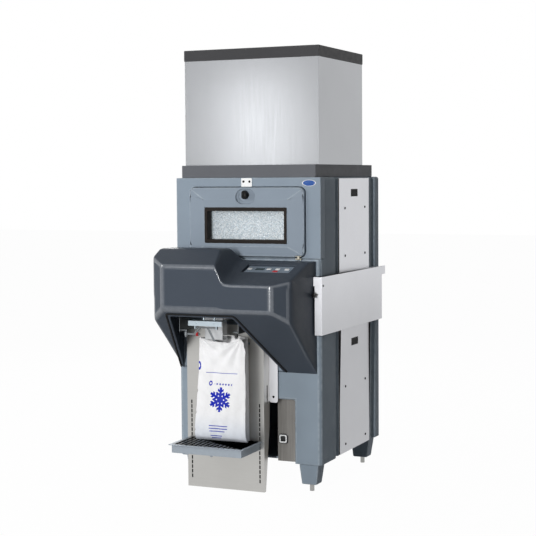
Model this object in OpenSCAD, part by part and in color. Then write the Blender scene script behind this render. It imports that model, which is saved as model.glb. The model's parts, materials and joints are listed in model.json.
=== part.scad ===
// Floor-standing ice bagger: an insulated ice bin with a modular ice machine on top
// and a bagging hood, chute, slotted panel and drip tray on its front.
// Millimetres, +Z up, +X to the right seen from the front, +Y towards the back.
// The model is drawn with the fascia's face at y = 0 and then set down so that the
// origin is the middle of the floor under it.

/* [Bin cabinet] */
// Width of the moulded body across its flat sides
body_w = 792; // [770:2:800]
// Width of the moulded body across its front posts
front_w = 812; // [808:2:820]
// Distance from the fascia's face to the body's back
body_back = 910; // [890:5:925]
// How far the body's front stands behind the fascia's face
setback = 6; // [4:1:10]
// Height of the body's underside above the floor
body_base = 148; // [140:1:156]
// Height of the body's top edge
body_top = 1625; // [1610:5:1660]
// Thickness of the insulated walls
wall_t = 40; // [34:1:44]
// Thickness of the body's floor
floor_t = 10; // [8:1:14]
// Wall of the inner tank
liner_t = 4; // [3:0.5:5]

/* [Fascia and door] */
// Width of the upper front moulding
fascia_w = 820; // [808:2:830]
// Depth of the upper front moulding
fascia_d = 60; // [56:1:66]
// Height of the moulding's lower edge
fascia_z = 1211; // [1208:1:1214]
// Width of the access door
door_w = 650; // [600:5:660]
// Height of the access door
door_h = 356; // [340:2:360]
// How far the door's rim stands proud of the fascia
door_proud = 16; // [12:1:20]
// How much further the door's middle stands out
door_crown = 8; // [4:1:10]
// Width of the window's black frame
window_w = 466; // [420:2:480]
// Height of the window's black frame
window_h = 186; // [160:2:190]
// Width of the window frame's bars
window_bar = 19; // [15:1:22]

/* [Ice machine] */
// Width of the ice machine, a standard modular size
machine_w = 762; // [740:2:762]
// Depth of the ice machine's casing
machine_d = 642; // [620:2:660]
// Height of the ice machine's casing without its lid
machine_h = 548; // [500:4:600]
// Height of the ice machine's lid
lid_h = 57; // [40:1:70]
// Height of the dark plate between bin and machine
plate_h = 65; // [50:1:75]

/* [Bagging hood] */
// How far the hood's front stands out from the fascia's face
hood_reach = 386; // [380:2:400]
// Half the hood's width at its sides
hood_side = 386; // [380:1:386]
// Half the hood's width across its front face
hood_face = 299; // [280:1:310]
// Height of the hood's roof over its left part
roof_tall = 1262; // [1256:1:1264]
// Height of the hood's roof over its right part
roof_low = 1198; // [1180:1:1200]
// Height of the crease where the left roof meets the front face
crease_tall = 1193; // [1180:1:1200]
// Height of the crease where the right roof meets the front face
crease_low = 1101; // [1085:1:1110]
// Height of the front face's lower edge
hood_lip = 965; // [950:1:975]
// Height of the hood's lower tips at the cabinet
hood_tip = 622; // [600:2:640]
// Wall of the hood
hood_t = 6; // [4:0.5:8]

/* [Bagging bay] */
// Place of the bagging bay's middle, left of the cabinet's middle
bay_x = -98; // [-104:1:-92]
// Width of the slotted panel
panel_w = 441; // [436:1:446]
// Height of the slotted panel's top
panel_top = 868; // [850:2:870]
// Distance from the slotted panel's face to the fascia's face
panel_out = 76; // [72:1:80]
// Pitch of the slots that hold the tray
slot_pitch = 24.6; // [24:0.1:26]
// Number of slots in each column
slot_count = 17; // [15:1:17]
// Height of the lowest slot's middle
slot_low = 60; // [50:1:70]
// Width of the tray's body
tray_w = 392; // [360:2:400]
// Distance from the slotted panel to the tray's front
tray_d = 229; // [200:1:235]
// Height of the tray's body below its lip
tray_h = 40; // [36:1:48]
// Width of the lip round the tray
tray_lip = 13; // [8:1:16]
// Width of the bag
bag_w = 298; // [260:2:310]

/* [Side covers] */
// Distance from the fascia's face to the covers' front edge
cover_y = 298; // [290:1:306]
// Width of the side covers
cover_w = 458; // [440:1:464]
// Height of the cross panel
cross_h = 297; // [280:1:300]
// How far the cross panel stands off the body's side
cross_out = 34; // [30:1:38]

/* [Hidden] */

fit = 0.05;
seat = 0.3;
sheet_t = 2;
body_half = body_w / 2;
fascia_half = fascia_w / 2;
front_half = front_w / 2;

// Cavity inside the insulated walls
cavity_half = body_half - wall_t;
cavity_front = fascia_d + wall_t;
cavity_back = body_back - wall_t;
cavity_floor = body_base + floor_t;

// Posts, grooves and cover seats of the body's sides
corner = 14;
bead_y = 217;
bead_w = 59;
bead_depth = 12;
seat_depth = 6;
seat_gap = 1;
seat_front = 13;
rear_groove_y = 790;
rear_groove_w = 50;
rear_groove_depth = 16;
rear_post_out = 6;

// Open recess of the body's lower front
recess_half = 257;
recess_top = 480;

// Access door, hung on pins along its lower edge
door_z = fascia_z + 8;
door_gap = 4;
door_back = 38;
door_face = -door_proud;
door_front = door_face - door_crown;
door_r = 30;
door_mid_z = door_z + door_h / 2;
port_inset = 25;
port_half = door_w / 2 - port_inset;
port_low = door_z + port_inset;
port_high = door_z + door_h - port_inset;
pivot_y = -12;
pivot_z = fascia_z - 2.5;
hinge_x = door_w / 2 - 33;
pin_r = 3;
knuckle_r = 5;
window_z = door_z + 160;
window_side = window_bar - 4;
badge_x = fascia_half - 62;
badge_z = body_top - 29;
pane_t = 4;
pane_lap = 8;
pane_y = 26;
seal_w = 14;
knob_z = door_z + door_h - 38;
knob_r = 13;
latch_shaft_r = 6;
latch_arm = 52;
latch_y = door_back - 6;
dish_half = 15;
dish_r = 40;
dish_depth = 7;

// Hopper of the inner tank
hopper_top = body_top - 15;
hopper_left_z = 1060;
hopper_right_z = 1130;

// Levels of the plate and the ice machine on the bin
plate_top = body_top + plate_h;
plate_half = 380;
plate_front = 8;
plate_back = 855;
drop_half = 160;
drop_front = 150;
drop_back = 400;
machine_half = machine_w / 2;
machine_y = 55;
machine_rear = machine_y + machine_d;
machine_top = plate_top + machine_h;
lid_over = 3;
divider_y = machine_rear - 267;

// Freezing plate, its flap and trough, in front of the dividing wall
evap_half = machine_half - 161;
evap_y = divider_y - 180;
evap_depth = 22;
evap_low = plate_top + 150;
evap_h = machine_h - 268;
evap_top = evap_low + evap_h;
cell_count = 10;
row_count = 8;
flap_half = evap_half + 2;
flap_y = evap_y - 45;
flap_z = evap_top + 16;
trough_half = evap_half + 20;
trough_front = flap_y + 10;
trough_back = trough_front + 85;
trough_low = evap_low - 70;
trough_h = 50;

// Compressor, coil and fan behind the dividing wall
pump_r = 80;
pump_x = -machine_half + 161;
pump_y = machine_rear - 137;
pump_h = 190;
coil_x = [20, machine_half - 31];
coil_z = [plate_top + 50, machine_top - 90];
coil_back = machine_rear - 7;
coil_depth = 47;
fan_x = (coil_x[0] + coil_x[1]) / 2;
fan_z = (coil_z[0] + coil_z[1]) / 2;
fan_r = (coil_x[1] - coil_x[0]) / 2 - 15;
fan_y = coil_back - coil_depth - 20;
fan_motor_r = 45;
fan_motor_len = 70;
inlet_x = -machine_half + 131;
inlet_z = plate_top + 60;
inlet_r = 8.6;
total_h = machine_top + lid_h;

// Auger trough, auger and chute
auger_z = 955;
ice_low = auger_z + 90;
ice_top = window_z + window_h / 2 + 6;
ice_brow = cavity_front + 150;
ice_slope = -12;
trough_r = 78;
tube_r = 72;
tube_t = 4;
auger_r = 64;
shaft_r = 10;
tube_front = -190;
spout_w = 100;
spout_back = -150;
spout_front = -205;
spout_low = 802;
drive_out = 66;
motor_r = 38;
motor_len = 70;

// Hood: y positions on its side profile and half widths of its mouth
hood_back = setback;
side_front = -317;
roof_front = -237;
roof_rear = -130;
roof_low_front = -85;
roof_low_rear = -40;
step_top_x = -52;
step_foot_x = 62;
mouth_top_y = -350;
mouth_top_half = 178;
mouth_left_half = 281;
mouth_right_half = 304;
draft = 6;
low_slope = (roof_low - crease_low) / (hood_reach + roof_low_front);
low_tilt = atan(low_slope);

// Pocket and plate of the control panel, measured along the sloping roof
pocket_x = 196;
pocket_w = 262;
pocket_y = -172;
pocket_len = 108;
pocket_depth = 16;
keys_w = 248;
keys_len = 92;
keys_t = 8;
key_travel = 1.5;

// Slotted panel, its rails and the tray
panel_y = -panel_out;
panel_low = 4;
panel_half = panel_w / 2;
flange_foot = 20;
flange_mid = 70;
flange_back = setback - 6;
flange_mid_z = 345;
flange_top_z = 600;
flange_slot_z = 460;
panel_hole_x = panel_half - 83;
panel_hole_z = panel_top - 94;
slot_x = tray_w / 2 - sheet_t / 2;
slot_w = 7;
slot_h = 19;
rail_w = 48;
rail_low = 463;
rail_top = 905;
rail_y = setback - 14;
tray_row = 8;
tray_top = slot_low + tray_row * slot_pitch + 11.2;
lip_t = 4;
tray_low = tray_top - lip_t - tray_h;
tray_back = panel_y - seat;
tray_front = panel_y - tray_d;
grille_h = 10;
ledge = 6;
slat_count = 15;
slat_w = 9;
clearance = 0.8;

// Bag hanging from the bar's arms and standing on the tray
bag_low = tray_top + seat;
bag_top = spout_low - 5;

// Bar, opener and arms over the bag
bar_half = 94;
bar_y = -305;
bar_low = 881;
bar_h = 26;
opener_y = bar_y + 15;
opener_z = 872;
arm_y = -235;
arm_reach = 142;
arm_pin_r = 4;
frame_half = 164;
frame_low = 843;
frame_top = auger_z + tube_r + 4;

// Side covers and cross panels
cover_skin = body_half + 1;
cover_seat = body_half - seat_depth;
upper_low = 1100;
upper_high = 1618;
lower_low = 150;
cross_low = 825;
cross_top = cross_low + cross_h;
cross_skin = body_half + cross_out;
cross_front = -40;
cross_back = 880;
ear_back = 935;
ear_low = 1075;
flange_in = 391;
ear_in = hood_side - 2;
screw_y = [382, 690];
upper_screw_z = [1207, 1460];
lower_screw_z = [195, 507];
plug_y = 473;
plug_w = 108;
plug_h = 40;
plug_z = [715, 1520];
star_x = 398;
star_z = 1032;
star_r = 15;
star_stud_r = 4;

// Drain pipe's hole in the body's back
drain_r = 13.5;
drain_x = 0;
drain_z = cavity_floor + 40;

// Legs and feet
leg_x = 326;
leg_w = 106;
leg_len = 92;
leg_shrink = 10;
leg_low = 38;
leg_front_y = 75;
leg_rear_y = body_back - 71;
foot_r = 12;
stud_r = 8;

// Lower front switch
inner_left = 145;
switch_x = 177;
switch_z = 267;
switch_w = 52;
rocker_w = 26;

mid_y = (ear_back - hood_reach) / 2;

// Moves a piece from the drawing's frame to the part's own origin
module set_down() { translate([0, -mid_y, 0]) children(); }

// Box given by its limits along each axis
module block(x, y, z) {
    translate([x[0], y[0], z[0]]) cube([x[1] - x[0], y[1] - y[0], z[1] - z[0]]);
}

// Extrudes a (y, z) outline along X, an (x, z) outline along Y or an (x, y) outline along Z
module along_x(a, b) { translate([a, 0, 0]) rotate([90, 0, 90]) linear_extrude(b - a) children(); }
module along_y(a, b) { translate([0, b, 0]) rotate([90, 0, 0]) linear_extrude(b - a) children(); }
module along_z(a, b) { translate([0, 0, a]) linear_extrude(b - a) children(); }

module rod_x(x, y, z, r) { along_x(x[0], x[1]) translate([y, z]) circle(r, $fn = 48); }
module rod_y(y, x, z, r) { along_y(y[0], y[1]) translate([x, z]) circle(r, $fn = 48); }
module rod_z(z, x, y, r) { along_z(z[0], z[1]) translate([x, y]) circle(r, $fn = 48); }

// Rectangle with round corners about its middle
module soft_rect(w, h, r) {
    square([w - 2 * r, h], center = true);
    square([w, h - 2 * r], center = true);
    for (sx = [-1, 1], sy = [-1, 1])
        translate([sx * (w / 2 - r), sy * (h / 2 - r)]) circle(r, $fn = 32);
}

module frame_rect(w, h, bar, r) {
    difference() {
        soft_rect(w, h, r);
        square([w - 2 * bar, h - 2 * bar], center = true);
    }
}

module both_sides() {
    children();
    mirror([1, 0, 0]) children();
}

// Right half of the body's plan, from the middle of the front round to the back
function side_plan() = [
    [0, setback], [front_half - corner, setback], [front_half, setback + corner],
    [front_half, bead_y], [body_half - bead_depth, bead_y + 8],
    [body_half - bead_depth, bead_y + bead_w - 8], [body_half, bead_y + bead_w],
    [body_half, cover_y - seat_front], [cover_seat, cover_y - seat_front],
    [cover_seat, cover_y + cover_w + seat_gap], [body_half, cover_y + cover_w + seat_gap],
    [body_half, rear_groove_y], [body_half - rear_groove_depth, rear_groove_y + 8],
    [body_half - rear_groove_depth, rear_groove_y + rear_groove_w - 8],
    [body_half + rear_post_out, rear_groove_y + rear_groove_w],
    [body_half + rear_post_out, body_back], [0, body_back]];

function other_side(plan) = [for (k = [len(plan) - 2 : -1 : 1]) [-plan[k][0], plan[k][1]]];

module plug_holes(x) {
    for (z = plug_z)
        block(x, [plug_y, plug_y + plug_w], [z, z + plug_h]);
}

// Moulded insulated body: grooved sides, open lower front, port for the door
module cabinet_body() color("#4c535a") set_down() difference() {
    along_z(body_base, body_top) polygon(concat(side_plan(), other_side(side_plan())));
    block([-cavity_half, cavity_half], [cavity_front, cavity_back], [cavity_floor, body_top + 1]);
    block([-body_w, body_w], [0, fascia_d], [fascia_z, body_top + 1]);
    block([-port_half, port_half], [0, cavity_front + 1], [port_low, port_high]);
    rod_y([0, cavity_front + 1], bay_x, auger_z, tube_r + fit);
    block([-recess_half, recess_half], [0, cavity_front + 1], [body_base - 1, recess_top]);
    both_sides() plug_holes([cover_seat - 10, body_half + 1]);
    both_sides() rod_y([0, setback + 22], star_x, star_z, star_stud_r + fit);
    rod_y([cavity_back - 1, body_back + 1], drain_x, drain_z, drain_r);
    rod_y([cavity_back - 1, cavity_back + 20], bay_x, auger_z, shaft_r + fit);
}

// Hopper outline of the inner tank, w inside its outer face
module hopper(w) {
    polygon([[-cavity_half + w, hopper_top + w], [-cavity_half + w, hopper_left_z + w / 2],
        [bay_x - trough_r - liner_t + w, auger_z + w], [bay_x + trough_r + liner_t - w, auger_z + w],
        [cavity_half - w, hopper_right_z + w / 2], [cavity_half - w, hopper_top + w]]);
    translate([bay_x, auger_z]) circle(trough_r + liner_t - w, $fn = 64);
}

// Inner tank with sloping floors that lead the ice to the auger trough
module bin_liner() color("#dfe5e8") set_down() difference() {
    along_y(cavity_front, cavity_back) hopper(0);
    along_y(cavity_front + liner_t, cavity_back - liner_t) hopper(liner_t);
    block([-port_half, port_half], [0, cavity_front + liner_t + 1], [port_low, port_high]);
    rod_y([0, cavity_front + liner_t + 1], bay_x, auger_z, tube_r + fit);
    rod_y([cavity_back - liner_t - 1, cavity_back + 1], bay_x, auger_z, shaft_r + fit);
}

// Upper front moulding, an open-backed shell round the door
module front_fascia() color("#8798a4") set_down() difference() {
    along_y(0, fascia_d) polygon([[-fascia_half, fascia_z], [fascia_half, fascia_z],
        [fascia_half, body_top], [-fascia_half, body_top]]);
    along_y(-1, fascia_d + 1) translate([0, door_mid_z])
        soft_rect(door_w + 2 * door_gap, door_h + 2 * door_gap - 1, door_r + door_gap);
    for (s = [-1, 1])
        block([s < 0 ? -fascia_half + 12 : door_w / 2 + door_gap + 8,
            s < 0 ? -door_w / 2 - door_gap - 8 : fascia_half - 12], [10, fascia_d + 1],
            [fascia_z + 10, body_top - 10]);
    block([-door_w / 2, door_w / 2], [10, fascia_d + 1], [door_z + door_h + door_gap + 10, body_top - 10]);
    block([-latch_arm, latch_arm], [latch_y - 3, latch_y + 8], [door_z + door_h, door_z + door_h + 16]);
}

// Dark plate that carries the ice machine over the bin's open top
module bin_top_plate() color("#4a4b4f") set_down() difference() {
    block([-plate_half, plate_half], [plate_front, plate_back], [body_top, plate_top]);
    block([-drop_half, drop_half], [drop_front, drop_back], [body_top - 1, plate_top + 1]);
    for (s = [-1, 1])
        block([s < 0 ? -plate_half + 20 : drop_half + 20, s < 0 ? -drop_half - 20 : plate_half - 20],
            [plate_front + 20, plate_back - 20], [body_top - 1, plate_top - 6]);
}

module leg(sx, y, turn) {
    translate([sx * leg_x, y, 0]) mirror([sx < 0 ? 1 : 0, 0, 0]) mirror([0, turn, 0]) difference() {
        hull() {
            translate([-leg_w / 2, -leg_len / 2, body_base - 12]) cube([leg_w, leg_len, 12]);
            translate([-leg_w / 2 + leg_shrink, -leg_len / 2 + leg_shrink, leg_low])
                cube([leg_w - 2.4 * leg_shrink, leg_len - 1.6 * leg_shrink, 1]);
        }
        translate([0, 0, leg_low - 1]) cylinder(r = stud_r + fit, h = 60, $fn = 48);
    }
}

// Four tapered moulded legs under the body's corners
module legs() color("#6f7f8b") set_down() {
    for (sx = [-1, 1]) {
        leg(sx, leg_front_y, 0);
        leg(sx, leg_rear_y, 1);
    }
}

// Four screw feet, one up each leg's middle
module leveling_feet() color("#c9cbcd") set_down() {
    for (sx = [-1, 1], y = [leg_front_y, leg_rear_y]) translate([sx * leg_x, y, 0]) {
        cylinder(r = foot_r, h = leg_low - seat, $fn = 48);
        cylinder(r = stud_r, h = leg_low + 40, $fn = 48);
    }
}

// Plan of a shallow sheet cover between two y values, with its two short returns
module cover_plan(y0, y1) {
    difference() {
        translate([cover_seat, y0]) square([cover_skin - cover_seat, y1 - y0]);
        translate([cover_seat - 1, y0 + sheet_t])
            square([cover_skin - cover_seat + 1 - sheet_t, y1 - y0 - 2 * sheet_t]);
    }
}

module screw_holes(z_list) {
    for (y = screw_y, z = z_list) rod_x([cover_seat, cover_skin + 1], y, z, 2.8);
}

module upper_cover() difference() {
    along_z(upper_low, upper_high) cover_plan(cover_y, cover_y + cover_w);
    plug_holes([cover_seat - 1, cover_skin + 1]);
    screw_holes(upper_screw_z);
}

// Stainless cover of the bin's upper side, one on each side
module upper_side_covers() color("#d5d6da") set_down() both_sides() upper_cover();

// Lower cover and cross panel, one sheet that stands off the body where it crosses it
module side_cover() difference() {
    union() {
        along_z(lower_low, cross_low + sheet_t) cover_plan(cover_y, cover_y + cover_w);
        block([cross_skin - sheet_t, cross_skin], [cross_front, cross_back], [cross_low, cross_top]);
        block([cross_skin - sheet_t, cross_skin], [cross_front, ear_back], [ear_low, cross_top]);
        block([cover_skin - sheet_t, cross_skin], [cover_y, cover_y + cover_w],
            [cross_low, cross_low + sheet_t]);
        block([front_half, cross_skin], [setback + corner, rear_groove_y], [cross_low, cross_low + sheet_t]);
        block([front_half + 1, cross_skin], [setback + corner, rear_groove_y],
            [cross_top - sheet_t, cross_top]);
        block([flange_in, cross_skin], [cross_front, cross_front + sheet_t], [cross_low, cross_top]);
        block([ear_in, cross_skin], [cross_front, cross_front + sheet_t], [ear_low, cross_top]);
    }
    plug_holes([cover_seat - 1, cross_skin + 1]);
    screw_holes(lower_screw_z);
    rod_y([cross_front - 1, cross_front + sheet_t + 1], star_x, star_z, star_stud_r + fit);
}

module side_cover_right() color("#d5d6da") set_down() side_cover();
module side_cover_left() color("#d5d6da") set_down() mirror([1, 0, 0]) side_cover();

// Black moulded plugs that fill the covers' lifting slots
module cover_plugs() color("#141416") set_down() both_sides() {
    for (z = plug_z)
        block([cover_seat - 10, cover_skin - 1], [plug_y + seat, plug_y + plug_w - seat],
            [z + seat, z + plug_h - seat]);
}

module cover_screw(y, z) {
    rod_x([cover_skin, cover_skin + 2.5], y, z, 5);
    rod_x([cover_seat, cover_skin + 1], y, z, 2.5);
}

// Screws of the side covers and the bolt heads of the cross panels
module cover_screws() color("#6d6f72") set_down() both_sides() {
    for (y = screw_y, z = concat(upper_screw_z, lower_screw_z)) cover_screw(y, z);
    rod_x([cross_skin, cross_skin + 3], -20, 1077, 7);
}

// Clamping knob with lobes, a washer and a stud into the body
module star_knob() translate([star_x, 0, star_z]) {
    rod_y([cross_front - 24, cross_front - 6], 0, 0, star_r - 4);
    for (k = [0:4]) rotate([0, k * 72, 0]) rod_y([cross_front - 22, cross_front - 8], star_r - 5, 0, 5);
    rod_y([cross_front - 6, cross_front - seat], 0, 0, 8);
    rod_y([cross_front - 10, setback + 20], 0, 0, star_stud_r);
}

module star_knob_right() color("#151517") set_down() star_knob();
module star_knob_left() color("#151517") set_down() mirror([1, 0, 0]) star_knob();

// Plain oval plate at the fascia's upper right corner
module badge_plate() color("#31557f") set_down() translate([badge_x, 0, badge_z]) intersection() {
    along_y(-2.5, 0) for (s = [-1, 1]) translate([s * 22, 0]) circle(17, $fn = 48);
    along_y(-2.5, 0) square([80, 40], center = true);
}

// Ice heaped in the tank behind the window
module ice_load() color("#e9f3f8") set_down() difference() {
    union() {
        along_y(cavity_front + liner_t + seat, cavity_back - liner_t - seat) intersection() {
            hopper(liner_t + seat);
            translate([-cavity_half, ice_low]) square([2 * cavity_half, ice_top - ice_low]);
        }
        block([-port_half + seat, port_half - seat], [fascia_d + 1, cavity_front + liner_t + 1],
            [port_low + seat, ice_top]);
    }
    translate([0, ice_brow, ice_top]) rotate([ice_slope, 0, 0]) block([-body_w, body_w], [0, 2 * body_back],
        [0, body_back]);
}

// Insulated door: rim, crowned middle, window opening, latch bore and seal land
module access_door() color("#8798a4") set_down() difference() {
    union() {
        along_y(door_face, door_back) translate([0, door_mid_z]) soft_rect(door_w, door_h, door_r);
        hull() {
            along_y(door_face - 0.5, door_face + 1) translate([0, door_mid_z])
                square([door_w - 20, door_h - 20], center = true);
            along_y(door_front, door_face) translate([0, door_mid_z - 6])
                square([window_w + 8, window_h + 56], center = true);
        }
    }
    along_y(door_front - 20, door_back + 1) translate([0, window_z])
        square([window_w, window_h], center = true);
    rod_y([door_front - 20, door_back + 1], 0, knob_z, latch_shaft_r + fit);
    for (s = [-1, 1]) rod_y([door_front - 20, door_face + dish_depth], s * dish_half, knob_z - 9, dish_r);
    block([-dish_half, dish_half], [door_front - 20, door_face + dish_depth],
        [knob_z - 9 - dish_r, knob_z - 9 + dish_r]);
    rod_y([latch_y - 2, door_back + 1], 0, knob_z, latch_arm + 6);
    for (s = [-1, 1])
        block([s * hinge_x - 17, s * hinge_x + 17], [door_front - 1, 4], [door_z - 1, door_z + 6]);
}

// Rubber seal on the door's back
module door_seal() color("#2b2c2e") set_down() along_y(door_back, fascia_d - seat)
    translate([0, door_mid_z]) frame_rect(door_w - 24, door_h - 24, seal_w, 12);

// Black rubber frame that holds the pane in the door
module window_gasket() color("#2c2622") set_down() translate([0, 0, window_z]) difference() {
    along_y(door_front - 4, door_back) square([window_w, window_h], center = true);
    along_y(door_front - 5, door_back + 1)
        square([window_w - 2 * window_side, window_h - 2 * window_bar], center = true);
    along_y(pane_y, pane_y + pane_t)
        square([window_w - 2 * window_side + 2 * pane_lap, window_h - 2 * window_bar + 2 * pane_lap],
            center = true);
}

module window_pane() color("#bcd2dc", 0.4) set_down() translate([0, 0, window_z])
    along_y(pane_y, pane_y + pane_t)
        square([window_w - 2 * window_side + 2 * pane_lap, window_h - 2 * window_bar + 2 * pane_lap],
            center = true);

// Hinge leaves under the door's lower edge, each with the middle knuckle
module door_leaves() color("#b9bbbd") set_down() for (s = [-1, 1]) translate([s * hinge_x, 0, 0]) {
    difference() {
        union() {
            rod_x([-4.7, 4.7], pivot_y, pivot_z, knuckle_r);
            block([-4.7, 4.7], [pivot_y - 4, pivot_y], [pivot_z, door_z + 6]);
            block([-16, 16], [pivot_y - 4, 3], [door_z + 3, door_z + 6]);
        }
        rod_x([-6, 6], pivot_y, pivot_z, pin_r + fit);
    }
}

// Fixed hinge brackets under the fascia, with the outer knuckles and the pin
module door_hinges() color("#a9abad") set_down() for (s = [-1, 1]) translate([s * hinge_x, 0, 0]) {
    rod_x([-16, 16], pivot_y, pivot_z, pin_r);
    for (k = [-1, 1]) {
        rod_x([k > 0 ? 5 : -15, k > 0 ? 15 : -5], pivot_y, pivot_z, knuckle_r);
        block([k > 0 ? 5 : -15, k > 0 ? 15 : -5], [pivot_y, setback], [fascia_z - 3, fascia_z]);
    }
    block([-15, 15], [setback - 6, setback], [fascia_z - 3, fascia_z]);
}

// Bright strike plate over the door, with two screw heads
module latch_strike() color("#e4e5e6") set_down() {
    block([-30, 30], [-3, 0], [door_z + door_h + 6, body_top - 2]);
    for (s = [-1, 1]) rod_y([-5, -3], s * 17, body_top - 20, 4);
}

// Turn knob through the door, with the latching arm behind it
module latch_knob() color("#161617") set_down() translate([0, 0, knob_z]) {
    rod_y([door_face + 1, door_face + dish_depth - seat], 0, 0, knob_r + 5);
    for (s = [-1, 1]) rod_y([door_front - 16, door_face + 2], 0, s * 9, knob_r);
    block([-knob_r, knob_r], [door_front - 16, door_face + 2], [-9, 9]);
    rod_y([door_face, latch_y + 5], 0, 0, latch_shaft_r);
    block([-7, latch_arm], [latch_y, latch_y + 5], [-8, 8]);
}

// Base pan of the ice machine, with its ice outlet and the wall that splits the casing
module machine_base() color("#8d9194") set_down() {
    difference() {
        block([-machine_half + sheet_t, machine_half - sheet_t],
            [machine_y + sheet_t, machine_rear - sheet_t], [plate_top, plate_top + 30]);
        block([-machine_half + sheet_t + 3, machine_half - sheet_t - 3],
            [machine_y + sheet_t + 3, machine_rear - sheet_t - 3], [plate_top + 4, plate_top + 31]);
        block([-drop_half, drop_half], [drop_front, drop_back], [plate_top - 1, plate_top + 5]);
    }
    block([-machine_half + sheet_t, machine_half - sheet_t], [divider_y, divider_y + 3],
        [plate_top + 2, machine_top - 20]);
}

module machine_front() color("#d9dadd") set_down()
    block([-machine_half, machine_half], [machine_y, machine_y + sheet_t], [plate_top, machine_top]);

module machine_side() block([machine_half - sheet_t, machine_half],
    [machine_y + sheet_t, machine_rear - sheet_t], [plate_top, machine_top]);

module machine_right() color("#d2d3d6") set_down() machine_side();
module machine_left() color("#d2d3d6") set_down() mirror([1, 0, 0]) machine_side();

// Back sheet with the louvred air outlet, the water inlet and the cable entry
module machine_back() color("#cfd0d3") set_down() {
    difference() {
        block([-machine_half, machine_half], [machine_rear - sheet_t, machine_rear],
            [plate_top, machine_top]);
        block(coil_x, [machine_rear - 3, machine_rear + 1], coil_z);
        rod_y([machine_rear - 3, machine_rear + 1], inlet_x, inlet_z, inlet_r);
    }
    for (z = [coil_z[0] + 15 : 32 : coil_z[1] - 12])
        block(coil_x, [machine_rear - sheet_t, machine_rear], [z, z + 12]);
}

// Dark moulded lid of the ice machine
module machine_lid() color("#47484c") set_down() difference() {
    block([-machine_half - lid_over, machine_half + lid_over],
        [machine_y - lid_over, machine_rear + lid_over], [machine_top, total_h]);
    block([-machine_half + 4, machine_half - 4], [machine_y + 4, machine_rear - 4],
        [machine_top - 1, total_h - 5]);
}

// Freezing plate with its grid of cells, hung on the dividing wall
module evaporator() color("#c3c9cc") set_down() {
    block([-evap_half, evap_half], [evap_y, evap_y + 6], [evap_low, evap_top]);
    for (k = [0 : cell_count]) {
        x = -evap_half + k * 2 * evap_half / cell_count;
        block([x - 1.5, x + 1.5], [evap_y - evap_depth, evap_y + 2], [evap_low, evap_top]);
    }
    for (k = [0 : row_count]) {
        z = evap_low + k * evap_h / row_count;
        block([-evap_half - 1.5, evap_half + 1.5], [evap_y - evap_depth, evap_y + 2], [z - 1.5, z + 1.5]);
    }
    for (s = [-1, 1])
        block([s * (evap_half - 20) - 10, s * (evap_half - 20) + 10], [evap_y + 5, divider_y],
            [evap_top - 150, evap_top - 130]);
}

// Clear flap that hangs in front of the freezing plate on its own top rod
module water_curtain() color("#b9c6cc", 0.6) set_down() {
    rod_x([-flap_half - 14, flap_half + 14], flap_y, flap_z, 4);
    block([-flap_half, flap_half], [flap_y - 2, flap_y + 1], [evap_low - 20, flap_z]);
}

// Water trough under the plate, with the brackets that carry the flap's rod
module water_trough() color("#e4e6e7") set_down() {
    difference() {
        block([-trough_half, trough_half], [trough_front, trough_back], [trough_low, trough_low + trough_h]);
        block([-trough_half + 4, trough_half - 4], [trough_front + 4, trough_back - 4],
            [trough_low + 4, trough_low + trough_h + 1]);
    }
    for (s = [-1, 1]) mirror([s < 0 ? 1 : 0, 0, 0]) {
        difference() {
            block([flap_half + 6, flap_half + 12], [flap_y - 10, divider_y], [flap_z - 12, flap_z + 12]);
            rod_x([flap_half + 5, flap_half + 13], flap_y, flap_z, 4 + fit);
        }
        block([trough_half, trough_half + 4], [trough_front, divider_y], [trough_low, trough_low + trough_h]);
    }
}

// Hermetic compressor with its mounting plate and pipe stub
module compressor() color("#1f2022") set_down() translate([pump_x, pump_y, plate_top + 4]) {
    translate([-pump_r - 15, -pump_r - 15, 0]) cube([2 * pump_r + 30, 2 * pump_r + 30, 5]);
    cylinder(r = pump_r, h = pump_h, $fn = 64);
    translate([0, 0, pump_h - 1]) cylinder(r = pump_r - 18, h = 22, $fn = 64);
    translate([pump_r / 2, pump_r / 2, pump_h]) cylinder(r = 8, h = 60, $fn = 32);
}

// Finned coil behind the back sheet's outlet
module condenser() color("#a5a9ab") set_down() {
    for (x = [coil_x[0] : 30 : coil_x[1]])
        block([x - 1, x + 1], [coil_back - coil_depth, coil_back], [coil_z[0] - 8, coil_z[1] + 8]);
    for (z = [coil_z[0] : 44 : coil_z[1]])
        rod_x([coil_x[0] - 4, coil_x[1] + 4], coil_back - coil_depth / 2, z, 6);
    for (s = [0, 1])
        block([coil_x[s] - 3, coil_x[s] + 3], [coil_back - coil_depth - 5, coil_back + 1],
            [plate_top + 4, coil_z[1] + 8]);
}

module fan_blades(hub_r, tip_r, count, width, pitch) {
    for (k = [0 : count - 1]) rotate([0, 0, k * 360 / count])
        translate([hub_r - 2, -width / 2, 0]) rotate([pitch, 0, 0]) cube([tip_r - hub_r, width, 2]);
}

// Condenser fan on its motor's shaft, between motor and coil
module condenser_fan() color("#2d3033") set_down() translate([fan_x, fan_y, fan_z]) rotate([90, 0, 0]) {
    difference() {
        union() {
            translate([0, 0, -12]) cylinder(r = 28, h = 24, $fn = 48);
            fan_blades(28, fan_r, 5, 60, 14);
        }
        translate([0, 0, -13]) cylinder(r = 5 + fit, h = 27, $fn = 48);
    }
}

module fan_motor() color("#2a2a2c") set_down() {
    rod_y([fan_y - 25 - fan_motor_len, fan_y - 25], fan_x, fan_z, fan_motor_r);
    rod_y([fan_y - 26, fan_y + 11], fan_x, fan_z, 5);
    block([fan_x - 30, fan_x + 30], [fan_y - 85, fan_y - 45], [plate_top + 4, fan_z - 30]);
}

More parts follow.
